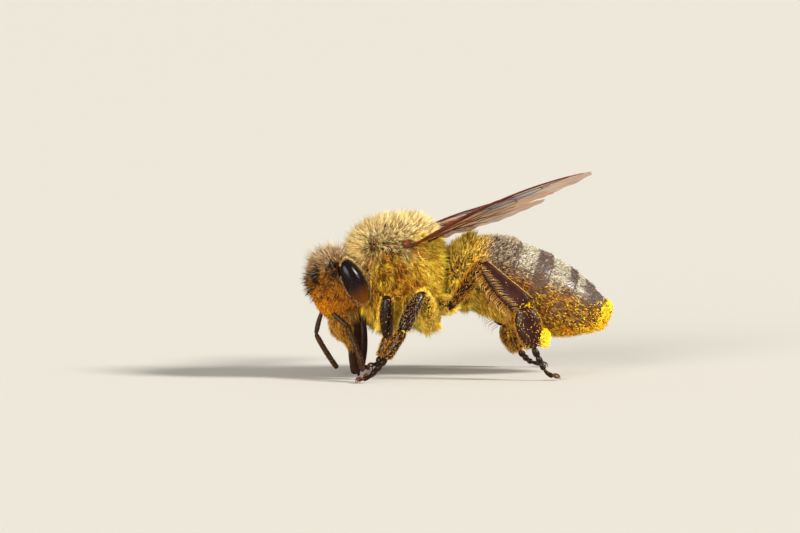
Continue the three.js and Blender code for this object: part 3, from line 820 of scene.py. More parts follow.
def tail_style(place, u, v):
    """Short hair over the tail's end, lying down and backward."""
    root, tip = tail_marks(place)
    return {"root": root, "tip": tip, "density": 1.0, "length": 0.17, "lift": 0.45,
            "flow": BACKWARD * 0.5 - UPWARD, "mess": 0.16, "radius": 0.014, "droop": 0.3}


def standing(style):
    """A coat's style for the sparse bright hairs that stand separately over it."""
    def sparse(place, u, v):
        look = style(place, u, v)
        look.update(length=look["length"] * 1.15, tip=np.clip(look["tip"] * [1.5, 1.5, 1.5, 1], 0, 1),
                    mess=look["mess"] + 0.06, radius=0.016, guard=0.0, contrast=0.3)
        return look
    return sparse


# ---------------------------------------------------------------- skins and their coats

def skin_grid(skin, rows, columns, window=(0.004, 0.996)):
    """A skin's places over an even grid, rows along v and columns round u, with their u and v."""
    v, u = np.meshgrid(np.linspace(*window, rows), np.arange(columns) / columns, indexing="ij")
    return skin(u.ravel(), v.ravel()).reshape(rows, columns, 3), u.ravel(), v.ravel()


def skin_colours(root, tip):
    """A skin's colours: the roots' colour, a touch of the tips', and two rows for the end fans."""
    shade = mixed(root * 0.7, tip * 0.6, 0.15)
    shade[:, 3] = 1
    return np.concatenate([shade, shade[:1], shade[-1:]])


def build_body():
    """One skin for head, neck, thorax, waist, abdomen and tail, under the coat."""
    head, _, _ = skin_grid(head_skin, 90, 120)
    chest, _, _ = skin_grid(thorax_skin, 90, 120)
    core, u, v = skin_grid(core_skin, 80, 96)
    cap, _, _ = skin_grid(tail_cap, 14, 48, (0.0, 0.98))
    marks = [head_marks(head.reshape(-1, 3)), thorax_marks(chest.reshape(-1, 3)),
             abdomen_marks(v, TURN * (u - 0.5))[:2], tail_marks(cap.reshape(-1, 3))]
    tubes = [rod([[-5.0, -0.15, 4.3], [-4.5, -0.05, 4.3], [-4.0, 0, 4.35]], [0.5, 0.45, 0.6]),
             rod([[-1.2, 0, 4.0], [-0.7, 0, 4.05], [-0.2, 0, 4.2]], [0.6, 0.4, 0.5])]
    colours = [skin_colours(*ends) for ends in marks]
    colours += [np.tile(TONE["brown"][0], (len(verts), 1)) for verts, _ in tubes]
    piece("skin", joined([shut(grid) for grid in (head, chest, core, cap)] + tubes), SKIN,
          ["head", "thorax"] + [f"abdomen_{i}" for i in range(1, 7)], np.concatenate(colours))


# A plate's section, as how far along the plate and how far over the skin: back along the outer
# face, over the edge and forward inside.
PLATE_ALONG = np.concatenate([np.linspace(0, 1, 22), [1.01, 1.0, 0.5, 0.02]])
PLATE_RISE = np.concatenate([EDGE_STEP * np.linspace(0, 1, 22), [EDGE_STEP - 0.015, EDGE_STEP - 0.035,
                                                                -0.02, -0.05]])


def build_plates():
    """The six overlapping plates of the abdomen, each a thin hoop with a rounded hind edge."""
    shapes, colours = [], []
    above = TURN * (np.arange(160) / 160 - 0.5)
    for i in range(PLATES):
        start, end = margin(i, above) - 0.012, margin(i + 1, above)
        s = np.clip(start + (end - start) * PLATE_ALONG[:, None], 0, 0.997)
        angle, rise = (np.broadcast_to(part, s.shape).ravel() for part in (above, PLATE_RISE[:, None]))
        shapes.append(ring(abdomen_skin(s.ravel(), angle, rise).reshape(*s.shape, 3)))
        root, _, felt = abdomen_marks(s.ravel(), angle)
        low = ease(np.abs(angle), 0.8, 1.6)
        shade = mixed(PLATE_BROWN if i == 1 else PLATE_DARK, PLATE_AMBER, 0.5 * low)
        colours.append(mixed(shade, root, 0.6 * felt * (1 - low)))
    piece("back_plates", joined(shapes), PLATE, colours=np.concatenate(colours))


OVER_THORAX, OVER_ABDOMEN = standing(thorax_style), standing(abdomen_style)
# The coat by slot: name, skin, how many hairs, style, window in u and v, hairs in a tuft and how
# far their roots spread. Each piece stays under twenty thousand bent hairs or fifty thousand
# straight ones.
COATS = {
    "gold_fur": [
        ("coat_head_brow", head_skin, 10500, head_style, (0, 1, 0.004, 0.5), 2, 0.015),
        ("coat_head_face", head_skin, 10500, head_style, (0, 1, 0.45, 0.97), 2, 0.015),
        ("coat_head_guards", head_skin, 1700, brow_guards, (0, 1, 0.004, 0.97), 1, 0.0),
        ("coat_thorax_back", thorax_skin, 11000, thorax_style, (0.36, 0.64, 0.02, 0.98), 4, 0.04),
        ("coat_thorax_left", thorax_skin, 8000, thorax_style, (0.62, 0.87, 0.02, 0.98), 4, 0.045),
        ("coat_thorax_right", thorax_skin, 7500, thorax_style, (0.13, 0.38, 0.02, 0.98), 4, 0.045),
        ("coat_thorax_under", thorax_skin, 6500, thorax_style, (-0.15, 0.15, 0.02, 0.98), 4, 0.045),
        ("hairs_thorax_left", thorax_skin, 5200, OVER_THORAX, (0.5, 0.9, 0.02, 0.98), 3, 0.03),
        ("hairs_thorax_right", thorax_skin, 4400, OVER_THORAX, (0.1, 0.5, 0.02, 0.98), 3, 0.03),
        ("coat_waist", plated_skin, 6500, abdomen_style, (0, 1, 0.01, 0.19), 4, 0.045)],
    "band_fur": [
        ("coat_abdomen_back", plated_skin, 30000, abdomen_style, (0.32, 0.68, 0.19, 0.99), 4, 0.03),
        ("coat_abdomen_left", plated_skin, 7000, abdomen_style, (0.08, 0.34, 0.18, 0.99), 4, 0.04),
        ("coat_abdomen_right", plated_skin, 7000, abdomen_style, (0.66, 0.92, 0.18, 0.99), 4, 0.04),
        ("coat_abdomen_under", plated_skin, 6000, abdomen_style, (-0.1, 0.1, 0.18, 0.99), 4, 0.04),
        ("hairs_abdomen", plated_skin, 8000, OVER_ABDOMEN, (0, 1, 0.02, 0.99), 2, 0.02),
        ("coat_tail", tail_cap, 900, tail_style, (0, 1, 0, 0.97), 3, 0.03)],
}
STRAIGHT_COAT = "coat_abdomen_back"  # its hairs are too short to show a bend


def build_coats():
    """The coat over the body, piece by piece."""
    rng = np.random.default_rng(5)
    for slot, rows in COATS.items():
        for name, skin, count, style, window, tuft, spread in rows:
            made = coat(skin, count, style, rng, window, tuft, spread, name != STRAIGHT_COAT)
            coat_piece(name, [made])


# ---------------------------------------------------------------- eyes

def lens_surface(tree):
    """Purple-black above and in front, and olive brown low down behind: the shade follows z less
    0.45 x in soft steps."""
    place = add(tree, "ShaderNodeTexCoord")
    slope = add(tree, "ShaderNodeVectorMath", [(0, place.outputs["Object"])], operation="DOT_PRODUCT")
    slope.inputs[1].default_value = (-0.45, 0, 1)
    height = add(tree, "ShaderNodeMapRange", [("Value", slope.outputs["Value"])],
                 interpolation_type="SMOOTHSTEP", From_Min=4.9 * MM, From_Max=6.4 * MM)
    shade = add(tree, "ShaderNodeMix", [("Factor", height.outputs["Result"])], data_type="RGBA",
                A=linear("#723e08"), B=linear("#10080a"))
    return add(tree, "ShaderNodeBsdfPrincipled", [("Base Color", shade.outputs["Result"])],
               Roughness=0.2, IOR=1.4, Specular_IOR_Level=0.1, Coat_Weight=0.12, Coat_Roughness=0.1)


# Corneal lenses: clear chitin over dark pigment, with a wet shine.
LENS = new_material("corneal_lens", lens_surface)
LENS_PITCH = 0.052  # real lenses are 0.02 to 0.025 apart, and these are as fine as would show
LENS_EDGE = -0.45  # lenses start at this share of the bulge inside the eye's middle plane
LENS_RIM, LENS_TOP = -0.003, 0.004  # heights of a lens's rim and top over the eye
OCELLUS = 0.13  # radius of a small eye


def eye_skin(side):
    """An eye as a function of (u, v): an oval ball, v from its top to its bottom."""
    def place(u, v):
        level = np.sin(np.pi * v)
        return on_eye(level * np.cos(TURN * u), np.cos(np.pi * v), level * np.sin(TURN * u), side)
    return place


def build_eyes():
    """Each eye is an oval ball set with lenses: low six-sided domes on a spiral lattice, where
    the k-th lens lies at height 1 - 2(k + 1/2)/n and each turns on by the golden angle. The
    area behind n is 4 pi ((ab^1.6 + ac^1.6 + bc^1.6) / 3)^(1/1.6) for half sizes a, b and c."""
    a, b, c = EYE["bulge"], EYE["half_height"], EYE["half_length"]
    area = 4 * np.pi * (((a * b) ** 1.6 + (a * c) ** 1.6 + (b * c) ** 1.6) / 3) ** 0.625
    count = int(area / (0.87 * LENS_PITCH ** 2))
    k = np.arange(count) + 0.5
    v, u = np.arccos(1 - 2 * k / count) / np.pi, (k * np.pi * (3 - math.sqrt(5)) / TURN) % 1
    rim = TURN / 6 * np.arange(6)[:, None]
    fan = np.array([[j, (j + 1) % 6, 6] for j in range(6)])
    for name, side in SIDES.items():
        ball, _, _ = skin_grid(eye_skin(side), 40, 56)
        place, normal, along_u, _ = surface_frame(eye_skin(side), u, v)
        shown = in_eye(place, side)[:, 0] > LENS_EDGE
        place, normal, across = place[shown], normal[shown], unit(along_u[shown])
        other = np.cross(normal, across)
        corners = place[:, None] + 0.62 * LENS_PITCH * (
            across[:, None] * np.cos(rim) + other[:, None] * np.sin(rim))
        tops = (place + normal * LENS_TOP)[:, None]
        verts = np.concatenate([corners + normal[:, None] * LENS_RIM, tops], 1)
        start = np.arange(len(place))[:, None, None] * 7
        domes = (verts.reshape(-1, 3), [(fan[None] + start).reshape(-1, 3)])
        piece(f"eye_{name}_lenses", joined([shut(ball), domes]), LENS, [f"eye_{name}"])
    beads = [shut(round_ball(14, 18) * OCELLUS + on_head(*middle)) for middle in OCELLI]
    piece("ocelli", joined(beads), LENS)


# Hair round an eye: angles from its top round by the nape, heights out of its middle plane, how
# many, how long, how it leans (backward, outward and up) and its tone. Behind the eye there is a
# pale fringe, then come the line down the inner rim, the brow and the cheek below.
RIMS = [
    ((0.2, 2.7), (-0.15, 0.15), 360, 0.2, [0.25, 0.5, 0.35], "fringe"),
    ((-2.0, -1.0), (0.2, 0.34), 200, 0.08, [0, 0.4, 0], "inner"),
    ((-0.6, 0.2), (0.1, 0.3), 90, 0.2, [0.25, 0.5, 0.35], "brow"),
    ((-3.4, -2.1), (0.0, 0.5), 260, 0.16, [0, 0.3, 0.4], "under"),
]


def rim_hair(side, span, out, count, length, lean, tone, cell, rng):
    """Hairs rooted along an eye's rim, over a span of angles and a range of heights. They point
    away from the eye and along lean."""
    lie = np.array(lean) * [1, side, 1]
    angle, height = rng.uniform(*span, count), rng.uniform(*out, count)
    level = np.sqrt(1 - height ** 2)
    place = on_eye(height, level * np.cos(angle), -level * np.sin(angle), side)
    away = unit(place - on_eye(0.0, 0.0, 0.0, side))
    first = unit(away * 0.6 + lie + rng.normal(size=(count, 3)) * 0.16)
    second = unit(first + lie * 0.5 + rng.normal(size=(count, 3)) * 0.1)
    long = length * rng.uniform(0.7, 1.2, count)
    shades = varied(TONE[tone], count, 0.22, rng)
    uv = np.stack([(cell + rng.random(count)) / 8, (height + 1) / 2], -1)
    return spikes(place - away * 0.03, first, second, long, 0.009, shades, uv, rng)


def eye_style(place, u, v):
    """Very short single hairs that stand on the eye between its lenses."""
    root, tip = TONE["lens"]
    return {"root": root, "tip": tip, "density": 1.0, "length": 0.085, "lift": 0.9, "flow": -UPWARD,
            "mess": 0.1, "radius": 0.006, "droop": 0.1}


def build_eye_hair():
    """The hair on and round the eyes."""
    rng = np.random.default_rng(6)
    made = []
    for cell, side in enumerate(SIDES.values()):
        made += [rim_hair(side, *row, 2 * k + cell, rng) for k, row in enumerate(RIMS)]
        made.append(coat(eye_skin(side), 420, eye_style, rng, tuft=1, spread=0.0))
    coat_piece("coat_eye_rims", made)


# ---------------------------------------------------------------- feelers and mouth

FEELERS = {
    "left": [[-4.99, -1.15, 2.29], [-4.73, -1.28, 1.6], [-4.49, -1.34, 0.98], [-4.34, -1.25, 0.36]],
    "right": [[-6.2, 0.15, 1.88], [-5.85, 0.3, 1.28], [-5.45, 0.48, 0.68], [-5.2, 0.6, 0.34]],
}
# Half widths along the joints of a feeler's lash: the small pedicel, nine drums and the tip.
LASH_JOINTS = [[0.075, 0.1, 0.105]] + [[0.104, 0.118, 0.122]] * 9 + [[0.106, 0.112, 0.09]]


def build_feelers():
    """A feeler: a slim scape from its socket and a lash of short joints, each a drum a little
    wider at its far end."""
    for name, side in SIDES.items():
        socket, elbow = on_head(-side * 0.28, -0.75, 1.05), np.array(FEELERS[name][0])
        parts = [rod([socket, (socket + elbow) / 2 + [-0.03, 0, 0.02], elbow], [0.08, 0.095, 0.11, 0.1],
                     flat=HEAD_AXES[0], rows=20, columns=16)]
        lash = path(FEELERS[name])
        edges = np.linspace(0.0, 1.0, len(LASH_JOINTS) + 1)
        for wide, start, end in zip(LASH_JOINTS, edges, edges[1:]):
            parts.append(limb(stretch(lash, start, end + 0.012), profile(wide), profile(wide),
                              HEAD_AXES[0], rows=12, columns=16, blunt=7))
        piece(f"feeler_{name}", joined(parts), FEELER_SHELL,
              [f"feeler_{name}_scape", f"feeler_{name}_flagellum"])


def jaw_limb(side):
    """A jaw's curve, half width, half thickness and flat normal."""
    curve = path([on_head(-side * 0.62, -1.3, 0.58), on_head(-side * 0.6, -1.85, 0.78),
                  on_head(-side * 0.24, -2.36, 0.8)])
    return curve, profile([0.24, 0.26, 0.28, 0.14]), profile([0.17, 0.16, 0.12, 0.06]), HEAD_AXES[0]


def muzzle_limb():
    """The face plate's lower end and the lip below it, as one tapering limb."""
    curve = path([[-5.26, -0.42, 3.1], [-5.18, -0.42, 2.6], [-5.0, -0.42, 2.0], [-4.76, -0.42, 1.4],
                  [-4.66, -0.42, 0.85]])
    return (curve, profile([0.6, 0.47, 0.3, 0.13, 0.05]), profile([0.55, 0.46, 0.32, 0.15, 0.05]),
            HEAD_AXES[0])


TONGUE_LINE = np.array([[-4.5, -0.34, 2.75], [-4.43, -0.36, 1.4], [-4.47, -0.36, 0.06]])
# The tongue's two sheath blades, two palps and middle rod: how far out and aft, length as a share
# of the line, half width and half thickness.
TONGUE_RODS = [
    (-0.17, -0.12, 0.97, 0.27, 0.055), (0.17, -0.12, 0.97, 0.27, 0.055),
    (-0.2, 0.27, 0.93, 0.13, 0.05), (0.2, 0.27, 0.93, 0.13, 0.05), (0.0, 0.1, 1.0, 0.12, 0.1),
]


def build_mouth():
    """Two spoon-shaped jaws, the lip between them, and the tongue."""
    for name, side in SIDES.items():
        piece(f"jaw_{name}_blade", limb(*jaw_limb(side), rows=24, columns=18, blunt=4),
              BROWN_SHELL, [f"jaw_{name}"])
    piece("muzzle", limb(*muzzle_limb(), rows=30, columns=28, blunt=4), BROWN_SHELL)
    root, bend, tip = TONGUE_LINE
    rods = []
    for out, aft, length, wide, thick in TONGUE_RODS:
        shift = np.array([aft, out, 0])
        end = bend + (tip - bend) * (2 * length - 1) + shift * 0.8
        rods.append(rod([root + shift, bend + shift, end], [wide, wide * 1.15, wide, wide * 0.6],
                        [thick, thick, thick * 0.8, thick * 0.5], np.array([0.0, 1.0, 0.0]),
                        rows=30, columns=14))
    piece("tongue_sheaths", joined(rods), TONGUE_SHELL, ["tongue"])


def mouth_strands(side, cell, rng, count=170):
    """Straw-coloured strands that hang beside the mouth and curl at their ends."""
    place = on_head(-side * rng.uniform(0.5, 0.85, count), rng.uniform(-1.3, -0.95, count),
                    rng.uniform(0.0, 0.5, count))
    hang = unit(np.array([0.32, 0, -0.95]) + rng.normal(size=(count, 3)) * 0.07)
    curl = unit(hang + np.array([0.1, 0, -0.2]) + rng.normal(size=(count, 3)) * 0.1)
    shades = varied(TONE["strand"], count, 0.25, rng)
    uv = np.stack([(cell + rng.random(count)) / 6, rng.random(count)], -1)
    return spikes(place, hang, curl, rng.uniform(0.35, 0.75, count), 0.011, shades, uv, rng)


def build_mouth_hair():
    """Brown hair lying down the muzzle and jaws, bristles on the feelers, and hanging strands."""
    rng = np.random.default_rng(7)
    lash = profile([0.11, 0.12])
    made = [limb_hair(*muzzle_limb(), 3200, 0.15, TONE["amber"], 0, rng, near=0.7, radius=0.008)]
    for cell, (name, side) in enumerate(SIDES.items()):
        made += [
            limb_hair(*jaw_limb(side), 900, 0.2, TONE["amber"], 1 + cell, rng, radius=0.008),
            limb_hair(path(FEELERS[name]), lash, lash, HEAD_AXES[0], 420, 0.055, TONE["feeler"], 5, rng,
                      radius=0.006),
            mouth_strands(side, 3 + cell, rng)]
    coat_piece("coat_mouth", made)


# ---------------------------------------------------------------- legs

# A leg's joints: hip, the ends of coxa, femur, tibia and basitarsus, and the foot's bend and tip.
LEGS = {
    "fore_left": [
        [-3.2, -0.5, 2.95], [-3.3, -0.85, 2.15], [-3.42, -2.12, 3.62], [-3.33, -1.92, 1.9],
        [-3.66, -1.88, 1.02], [-3.88, -1.87, 0.36], [-4.25, -1.87, 0.12]],
    "mid_left": [
        [-1.75, -0.5, 2.95], [-1.2, -1.0, 2.15], [-1.95, -2.5, 3.8], [-2.86, -3.18, 2.25],
        [-3.62, -3.26, 1.06], [-4.3, -3.3, 0.33], [-4.85, -3.32, 0.12]],
    "hind_left": [
        [-1.0, -0.5, 3.2], [-0.5, -1.75, 3.2], [0.66, -2.72, 5.1], [2.44, -3.22, 3.22],
        [2.86, -3.3, 1.42], [3.4, -3.28, 0.4], [3.95, -3.28, 0.12]],
    "fore_right": [
        [-3.2, 0.5, 2.95], [-3.3, 0.85, 2.15], [-4.25, 2.12, 3.6], [-4.0, 1.92, 1.9],
        [-3.9, 1.9, 1.0], [-3.86, 1.95, 0.36], [-3.6, 2.05, 0.12]],
    "mid_right": [
        [-1.75, 0.5, 2.95], [-1.2, 1.0, 2.15], [-1.4, 2.5, 3.85], [-2.2, 3.1, 2.15],
        [-2.65, 3.35, 0.95], [-2.85, 3.4, 0.36], [-3.25, 3.42, 0.12]],
    "hind_right": [
        [-1.0, 0.5, 3.2], [-0.45, 1.7, 2.95], [1.05, 2.65, 4.3], [2.88, 3.1, 2.1],
        [3.42, 3.2, 0.75], [3.9, 3.24, 0.28], [4.55, 3.28, 0.12]],
}
# Half widths along each part of a leg, from its near end to its far end.
LIMBS = {
    "fore": {"coxa": [0.3, 0.24], "femur": [0.2, 0.28, 0.22], "tibia": [0.22, 0.28, 0.26],
             "basitarsus": [0.2, 0.19]},
    "mid": {"coxa": [0.32, 0.24], "femur": [0.2, 0.29, 0.22], "tibia": [0.23, 0.31, 0.3],
            "basitarsus": [0.25, 0.22]},
    "hind": {"coxa": [0.32, 0.22], "femur": [0.18, 0.27, 0.24], "tibia": [0.26, 0.46, 0.56],
             "basitarsus": [0.42, 0.56, 0.5, 0.3]},
}
BROAD = ("tibia", "basitarsus")  # the hind leg's flattened parts
FLAT_HALF = 0.2  # their half thickness
BOW_OF_LIMB = 0.05  # how far femur and tibia bend out at their middle
# Where the four small foot joints end along the foot, and their half widths.
FOOT_ENDS = [0.0, 0.22, 0.4, 0.58, 0.86]
FOOT_WIDTHS = [[0.09, 0.15, 0.15], [0.08, 0.14, 0.14], [0.07, 0.12, 0.13], [0.06, 0.09, 0.12]]


def leg_limbs(leg_name):
    """The main parts of a leg as (name, form, broad): form is what limb() takes, a curve, half
    width, half thickness and flat normal, and broad marks the hind leg's plates."""
    joints = np.array(LEGS[leg_name], float)
    kind, side_name = leg_name.split("_")
    flat = np.array([0.0, SIDES[side_name], 0.0])
    found = []
    for i, (name, wide) in enumerate(LIMBS[kind].items()):
        broad = kind == "hind" and name in BROAD
        bow = unit(np.cross(joints[i + 1] - joints[i], flat)) * (BOW_OF_LIMB if i in (1, 2) else 0)
        curve = path([joints[i], (joints[i] + joints[i + 1]) / 2 + bow, joints[i + 1]])
        deep = [FLAT_HALF] * len(wide) if broad else wide
        found.append((name, (curve, profile(wide), profile(deep), flat), broad))
    return found


def build_legs():
    """Each leg: hip, femur, tibia and long first foot joint as limbs, four small foot joints as
    cups, and a pad with two hooked claws. The hind tibia and first foot joint are broad plates,
    and the tibia's outer face is dished as a basket."""
    for leg_name, joints in LEGS.items():
        parts, plates = [], []
        for name, form, broad in leg_limbs(leg_name):
            (plates if broad else parts).append(limb(
                *form, rows=40, columns=32, hollow=0.15 if broad and name == "tibia" else 0.0,
                blunt=3 if broad and name == "basitarsus" else 5))
        foot, flat = path(joints[4:]), form[3]
        for wide, start, end in zip(FOOT_WIDTHS, FOOT_ENDS, FOOT_ENDS[1:]):
            parts.append(limb(stretch(foot, start - 0.03, end), profile(wide), profile(wide), flat,
                              rows=14, columns=16))
        piece(f"leg_{leg_name}_shell", joined(parts), DARK_SHELL,
              [f"leg_{leg_name}_{part}" for part in (*LIMBS["fore"], "tarsus")])
        if plates:
            piece(f"leg_{leg_name}_basket", joined(plates), BASKET_SHELL)
        build_claws(leg_name, foot)


def build_claws(leg_name, foot):
    """Two claws, each a tapering hook, and the soft pad between them, flat where they stand."""
    start, end = foot(np.array([0.84, 1.0]))
    ahead = unit(end - start) * [1, 1, 0]
    aside = np.cross(ahead, UPWARD)
    parts = [rod([start, (start + end) / 2, end - UPWARD * 0.02], [0.05, 0.1, 0.1], [0.04, 0.06, 0.04],
                 UPWARD, rows=12, columns=14)]
    for way in (-1, 1):
        hook = [start + ahead * on + aside * way * out + UPWARD * up for on, out, up in (
            (0, 0.04, 0), (0.14, 0.14, 0.06), (0.3, 0.17, 0.02), (0.34, 0.18, -0.17))]
        parts.append(rod(hook, [0.045, 0.04, 0.03, 0.012], flat=UPWARD, rows=14, columns=10))
    verts, faces = joined(parts)
    verts[:, 2] = np.maximum(verts[:, 2], 0.0)
    piece(f"claws_{leg_name}", (verts, faces), BROWN_SHELL)


def limb_hair(curve, across, deep, flat, count, long, tones, cell, rng, bare=0.0, near=0.0,
              radius=0.0095):
    """Hair lying down a limb, rooted evenly over its skin. bare is the share left out on the
    outer face, near how much longer and denser it is at the near end, and cell its column on
    the bake map."""
    t, around = rng.uniform(0.03, 0.97, count), rng.uniform(0, TURN, count)
    tangent, normal, side = limb_frame(curve, flat, t)
    outer = np.sin(around)
    keep = rng.random(count) > bare * ease(outer, 0.1, 0.5) + 0.7 * near * ease(t, 0.5, 0.85)
    fill = (1 - np.abs(2 * t - 1) ** 5) ** 0.2
    out = side * (np.cos(around) * across(t))[:, None] + normal * (outer * deep(t))[:, None]
    place = curve(t) + out * fill[:, None] * 0.97
    first = unit(unit(out) * 0.6 + tangent * 0.7 + rng.normal(size=(count, 3)) * 0.14)
    second = unit(first + tangent * 0.5)
    length = long * rng.uniform(0.6, 1.2, count) * (1 + near * (0.7 - t))
    root, tip = varied(tones, count, 0.3, rng)
    uv = np.stack([(cell + around / TURN) / 6, t], -1)
    return spikes(place[keep], first[keep], second[keep], length[keep], radius, (root[keep], tip[keep]),
                  uv[keep], rng)


# Hairs on each part of a leg: how many, how long, their radius and their tone. Some parts differ
# by leg: the femurs of the fore and middle legs are shaggy, most at the hip.
LEG_HAIR = {
    "coxa": (1200, 0.4, 0.0145, "pale"), "femur": (1000, 0.22, 0.0105, "gold"),
    "tibia": (260, 0.12, 0.008, "ash"), "basitarsus": (340, 0.13, 0.0095, "gold"),
    "fore femur": (1300, 0.24, 0.012, "straw"), "mid femur": (3200, 0.3, 0.0145, "pale"),
    "mid tibia": (560, 0.12, 0.008, "beige"), "hind basitarsus": (1500, 0.17, 0.0095, "gold"),
}


def build_leg_coat():
    """The hair of the legs, one piece for each side, with the fringe of its pollen basket."""
    rng = np.random.default_rng(9)
    for side_name in SIDES:
        made = []
        for cell, kind in enumerate(LIMBS):
            limbs = leg_limbs(f"{kind}_{side_name}")
            for name, form, broad in limbs:
                count, long, radius, tone = LEG_HAIR.get(f"{kind} {name}", LEG_HAIR[name])
                root, tip = TONE[tone]
                root = mixed(root, TONE["black"][0], 0.0 if tone in ("straw", "pale") else 0.3)
                shaggy = name == "femur" and kind != "hind"
                made.append(limb_hair(*form, count, long, (root, tip), 2 * cell, rng, 0.97 * broad,
                                      1.0 * shaggy, radius))
            if kind == "hind":
                made += basket_fringe(limbs[2][1], 2 * cell, rng)
        coat_piece(f"coat_legs_{side_name}", made)


# Fringes of the hind tibia: which edge (1 is the lower), how many hairs, how long, their radius,
# how far they set out from the edge, over the outer face and along the leg, then how they end,
# and over what share of the outer face they are rooted.
FRINGES = [
    (1, 28, 0.78, 0.017, (1.0, 0.5, 0.0), (0.6, 0.25, 0.75), 0.0),
    (1, 52, 0.52, 0.009, (-0.5, 0.8, 0.25), (-0.75, 0.1, 0.8), 0.3),
    (-1, 150, 0.13, 0.01, (0.5, 0.5, 0.5), (0.1, 0.1, 1.0), 0.0),
]


def basket_fringe(form, cell, rng):
    """The pollen basket's hair: a comb of long curved hairs that fan out below the hind tibia,
    another that arches over its dark face, and a thin gold line along its upper edge."""
    curve, across, _, flat = form
    made = []
    for k, (edge, count, long, radius, start, end, share) in enumerate(FRINGES):
        t = np.linspace(0.05, 0.97, count) + rng.normal(size=count) * 0.003
        tangent, normal, side = limb_frame(curve, flat, t)
        side = side * -np.sign(side[:, 2:]) * edge
        inward = share * rng.random(count)
        out = side * (across(t) * (0.92 - inward))[:, None] + normal * (0.06 + 0.3 * inward)[:, None]
        axes = np.stack([side, normal, tangent], 1)
        first, second = (unit(np.einsum("j,ijk->ik", way, axes) + rng.normal(size=(count, 3)) * 0.07)
                         for way in (start, end))
        length = long * (0.6 + 0.4 * np.sin(np.pi * t) ** 0.5) * rng.uniform(0.85, 1.1, count)
        shades = varied(TONE["basket"], count, 0.2, rng)
        uv = np.stack([np.full(count, (cell + 0.2 + 0.3 * k) / 6), t], -1)
        made.append(spikes(curve(t) + out, first, second, length, radius, shades, uv, rng))
    return made


# ---------------------------------------------------------------- pollen

PHI = (1 + math.sqrt(5)) / 2
TWENTY_CORNERS = unit(np.array([
    [-1, PHI, 0], [1, PHI, 0], [-1, -PHI, 0], [1, -PHI, 0], [0, -1, PHI], [0, 1, PHI],
    [0, -1, -PHI], [0, 1, -PHI], [PHI, 0, -1], [PHI, 0, 1], [-PHI, 0, -1], [-PHI, 0, 1]]))
TWENTY_FACES = np.array([
    [0, 11, 5], [0, 5, 1], [0, 1, 7], [0, 7, 10], [0, 10, 11], [1, 5, 9], [5, 11, 4], [11, 10, 2],
    [10, 7, 6], [7, 1, 8], [3, 9, 4], [3, 4, 2], [3, 2, 6], [3, 6, 8], [3, 8, 9], [4, 9, 5],
    [2, 4, 11], [6, 2, 10], [8, 6, 7], [9, 8, 1]])


def grains(places, radius):
    """Pollen grains as twenty-sided balls."""
    verts = places[:, None] + TWENTY_CORNERS[None] * radius[:, None, None]
    start = np.arange(len(places))[:, None, None] * len(TWENTY_CORNERS)
    return verts.reshape(-1, 3), [(TWENTY_FACES[None] + start).reshape(-1, 3)]


def dust(skin, count, share, reach, rng):
    """Grains caught in the coat over a skin, denser where share(place, u, v) is high, at up to
    reach from the skin."""
    u, v = rng.uniform(0, 1, count * 6), rng.uniform(0.02, 0.98, count * 6)
    place, normal, along_u, along_v = surface_frame(skin, u, v)
    weight = np.linalg.norm(np.cross(along_u, along_v), axis=1) * share(place, u, v)
    pick = rng.choice(count * 6, count, p=weight / weight.sum())
    return place[pick] + normal[pick] * (reach * rng.uniform(0.3, 1, (count, 1)))


def on_thorax(place, u, v):
    """Pollen on the thorax: on its sides and most of all low down behind."""
    _, side, up = in_thorax(place)
    return 0.1 + ease(side, 0.4, 0.7) * 0.6 + 1.2 * ease(-up, 0.1, 0.6)


def on_abdomen(place, u, v):
    """Pollen on the abdomen: on sides and belly, and thickest round the tail."""
    above = np.abs(TURN * (u - 0.5))
    side = ease(above, 0.9, 1.5) * (0.3 + 1.2 * ease(v, 0.4, 0.9))
    tail = 14 * ease(v, 0.86, 0.95) * ease(above, 0.7, 1.3)
    return side + tail + 9 * ease(above, 2.3, 2.8) * ease(v, 0.5, 0.9)


def on_tail(place, u, v):
    """A crust of pollen over the end of the tail, and thinner along the belly behind."""
    under = ease(np.abs(TURN * (u - 0.5)), 2.0, 2.6)
    low = 1 - ease(place[:, 2], 2.9, 3.25)
    return ease(place[:, 0], 6.2, 6.5) * low + 0.25 * under * ease(place[:, 0], 4.6, 6.2)


# Grains in the coat: skin, how many, where, how far out at most, and their smallest and largest
# radius. Real grains are about 0.03 mm across, and the largest here stand for clumps.
DUST = [(thorax_skin, 700, on_thorax, 0.45, (0.01, 0.022)),
        (plated_skin, 2600, on_abdomen, 0.24, (0.01, 0.026)),
        (plated_skin, 1300, on_tail, 0.14, (0.02, 0.045))]
TAIL_DUST = (tail_cap, 260, on_tail, 0.13, (0.015, 0.035))
# Lumps of pollen stuck to the hind and middle legs: middle, half size, how many grains and their
# largest radius.
LUMPS = [
    ([2.5, -3.3, 3.3], [0.36, 0.2, 0.15], 70, 0.022),
    ([3.36, -3.3, 1.84], [0.26, 0.22, 0.44], 420, 0.045),
    ([2.5, 3.3, 2.5], [0.3, 0.16, 0.12], 90, 0.03),
    ([2.9, 3.15, 1.6], [0.2, 0.24, 0.42], 300, 0.045),
    ([-2.86, -3.2, 2.22], [0.26, 0.28, 0.1], 70, 0.024),
]
GRAINS_ON_LIMB, GRAINS_ON_BRUSH = 26, 190  # the brush is the hind leg's first foot joint


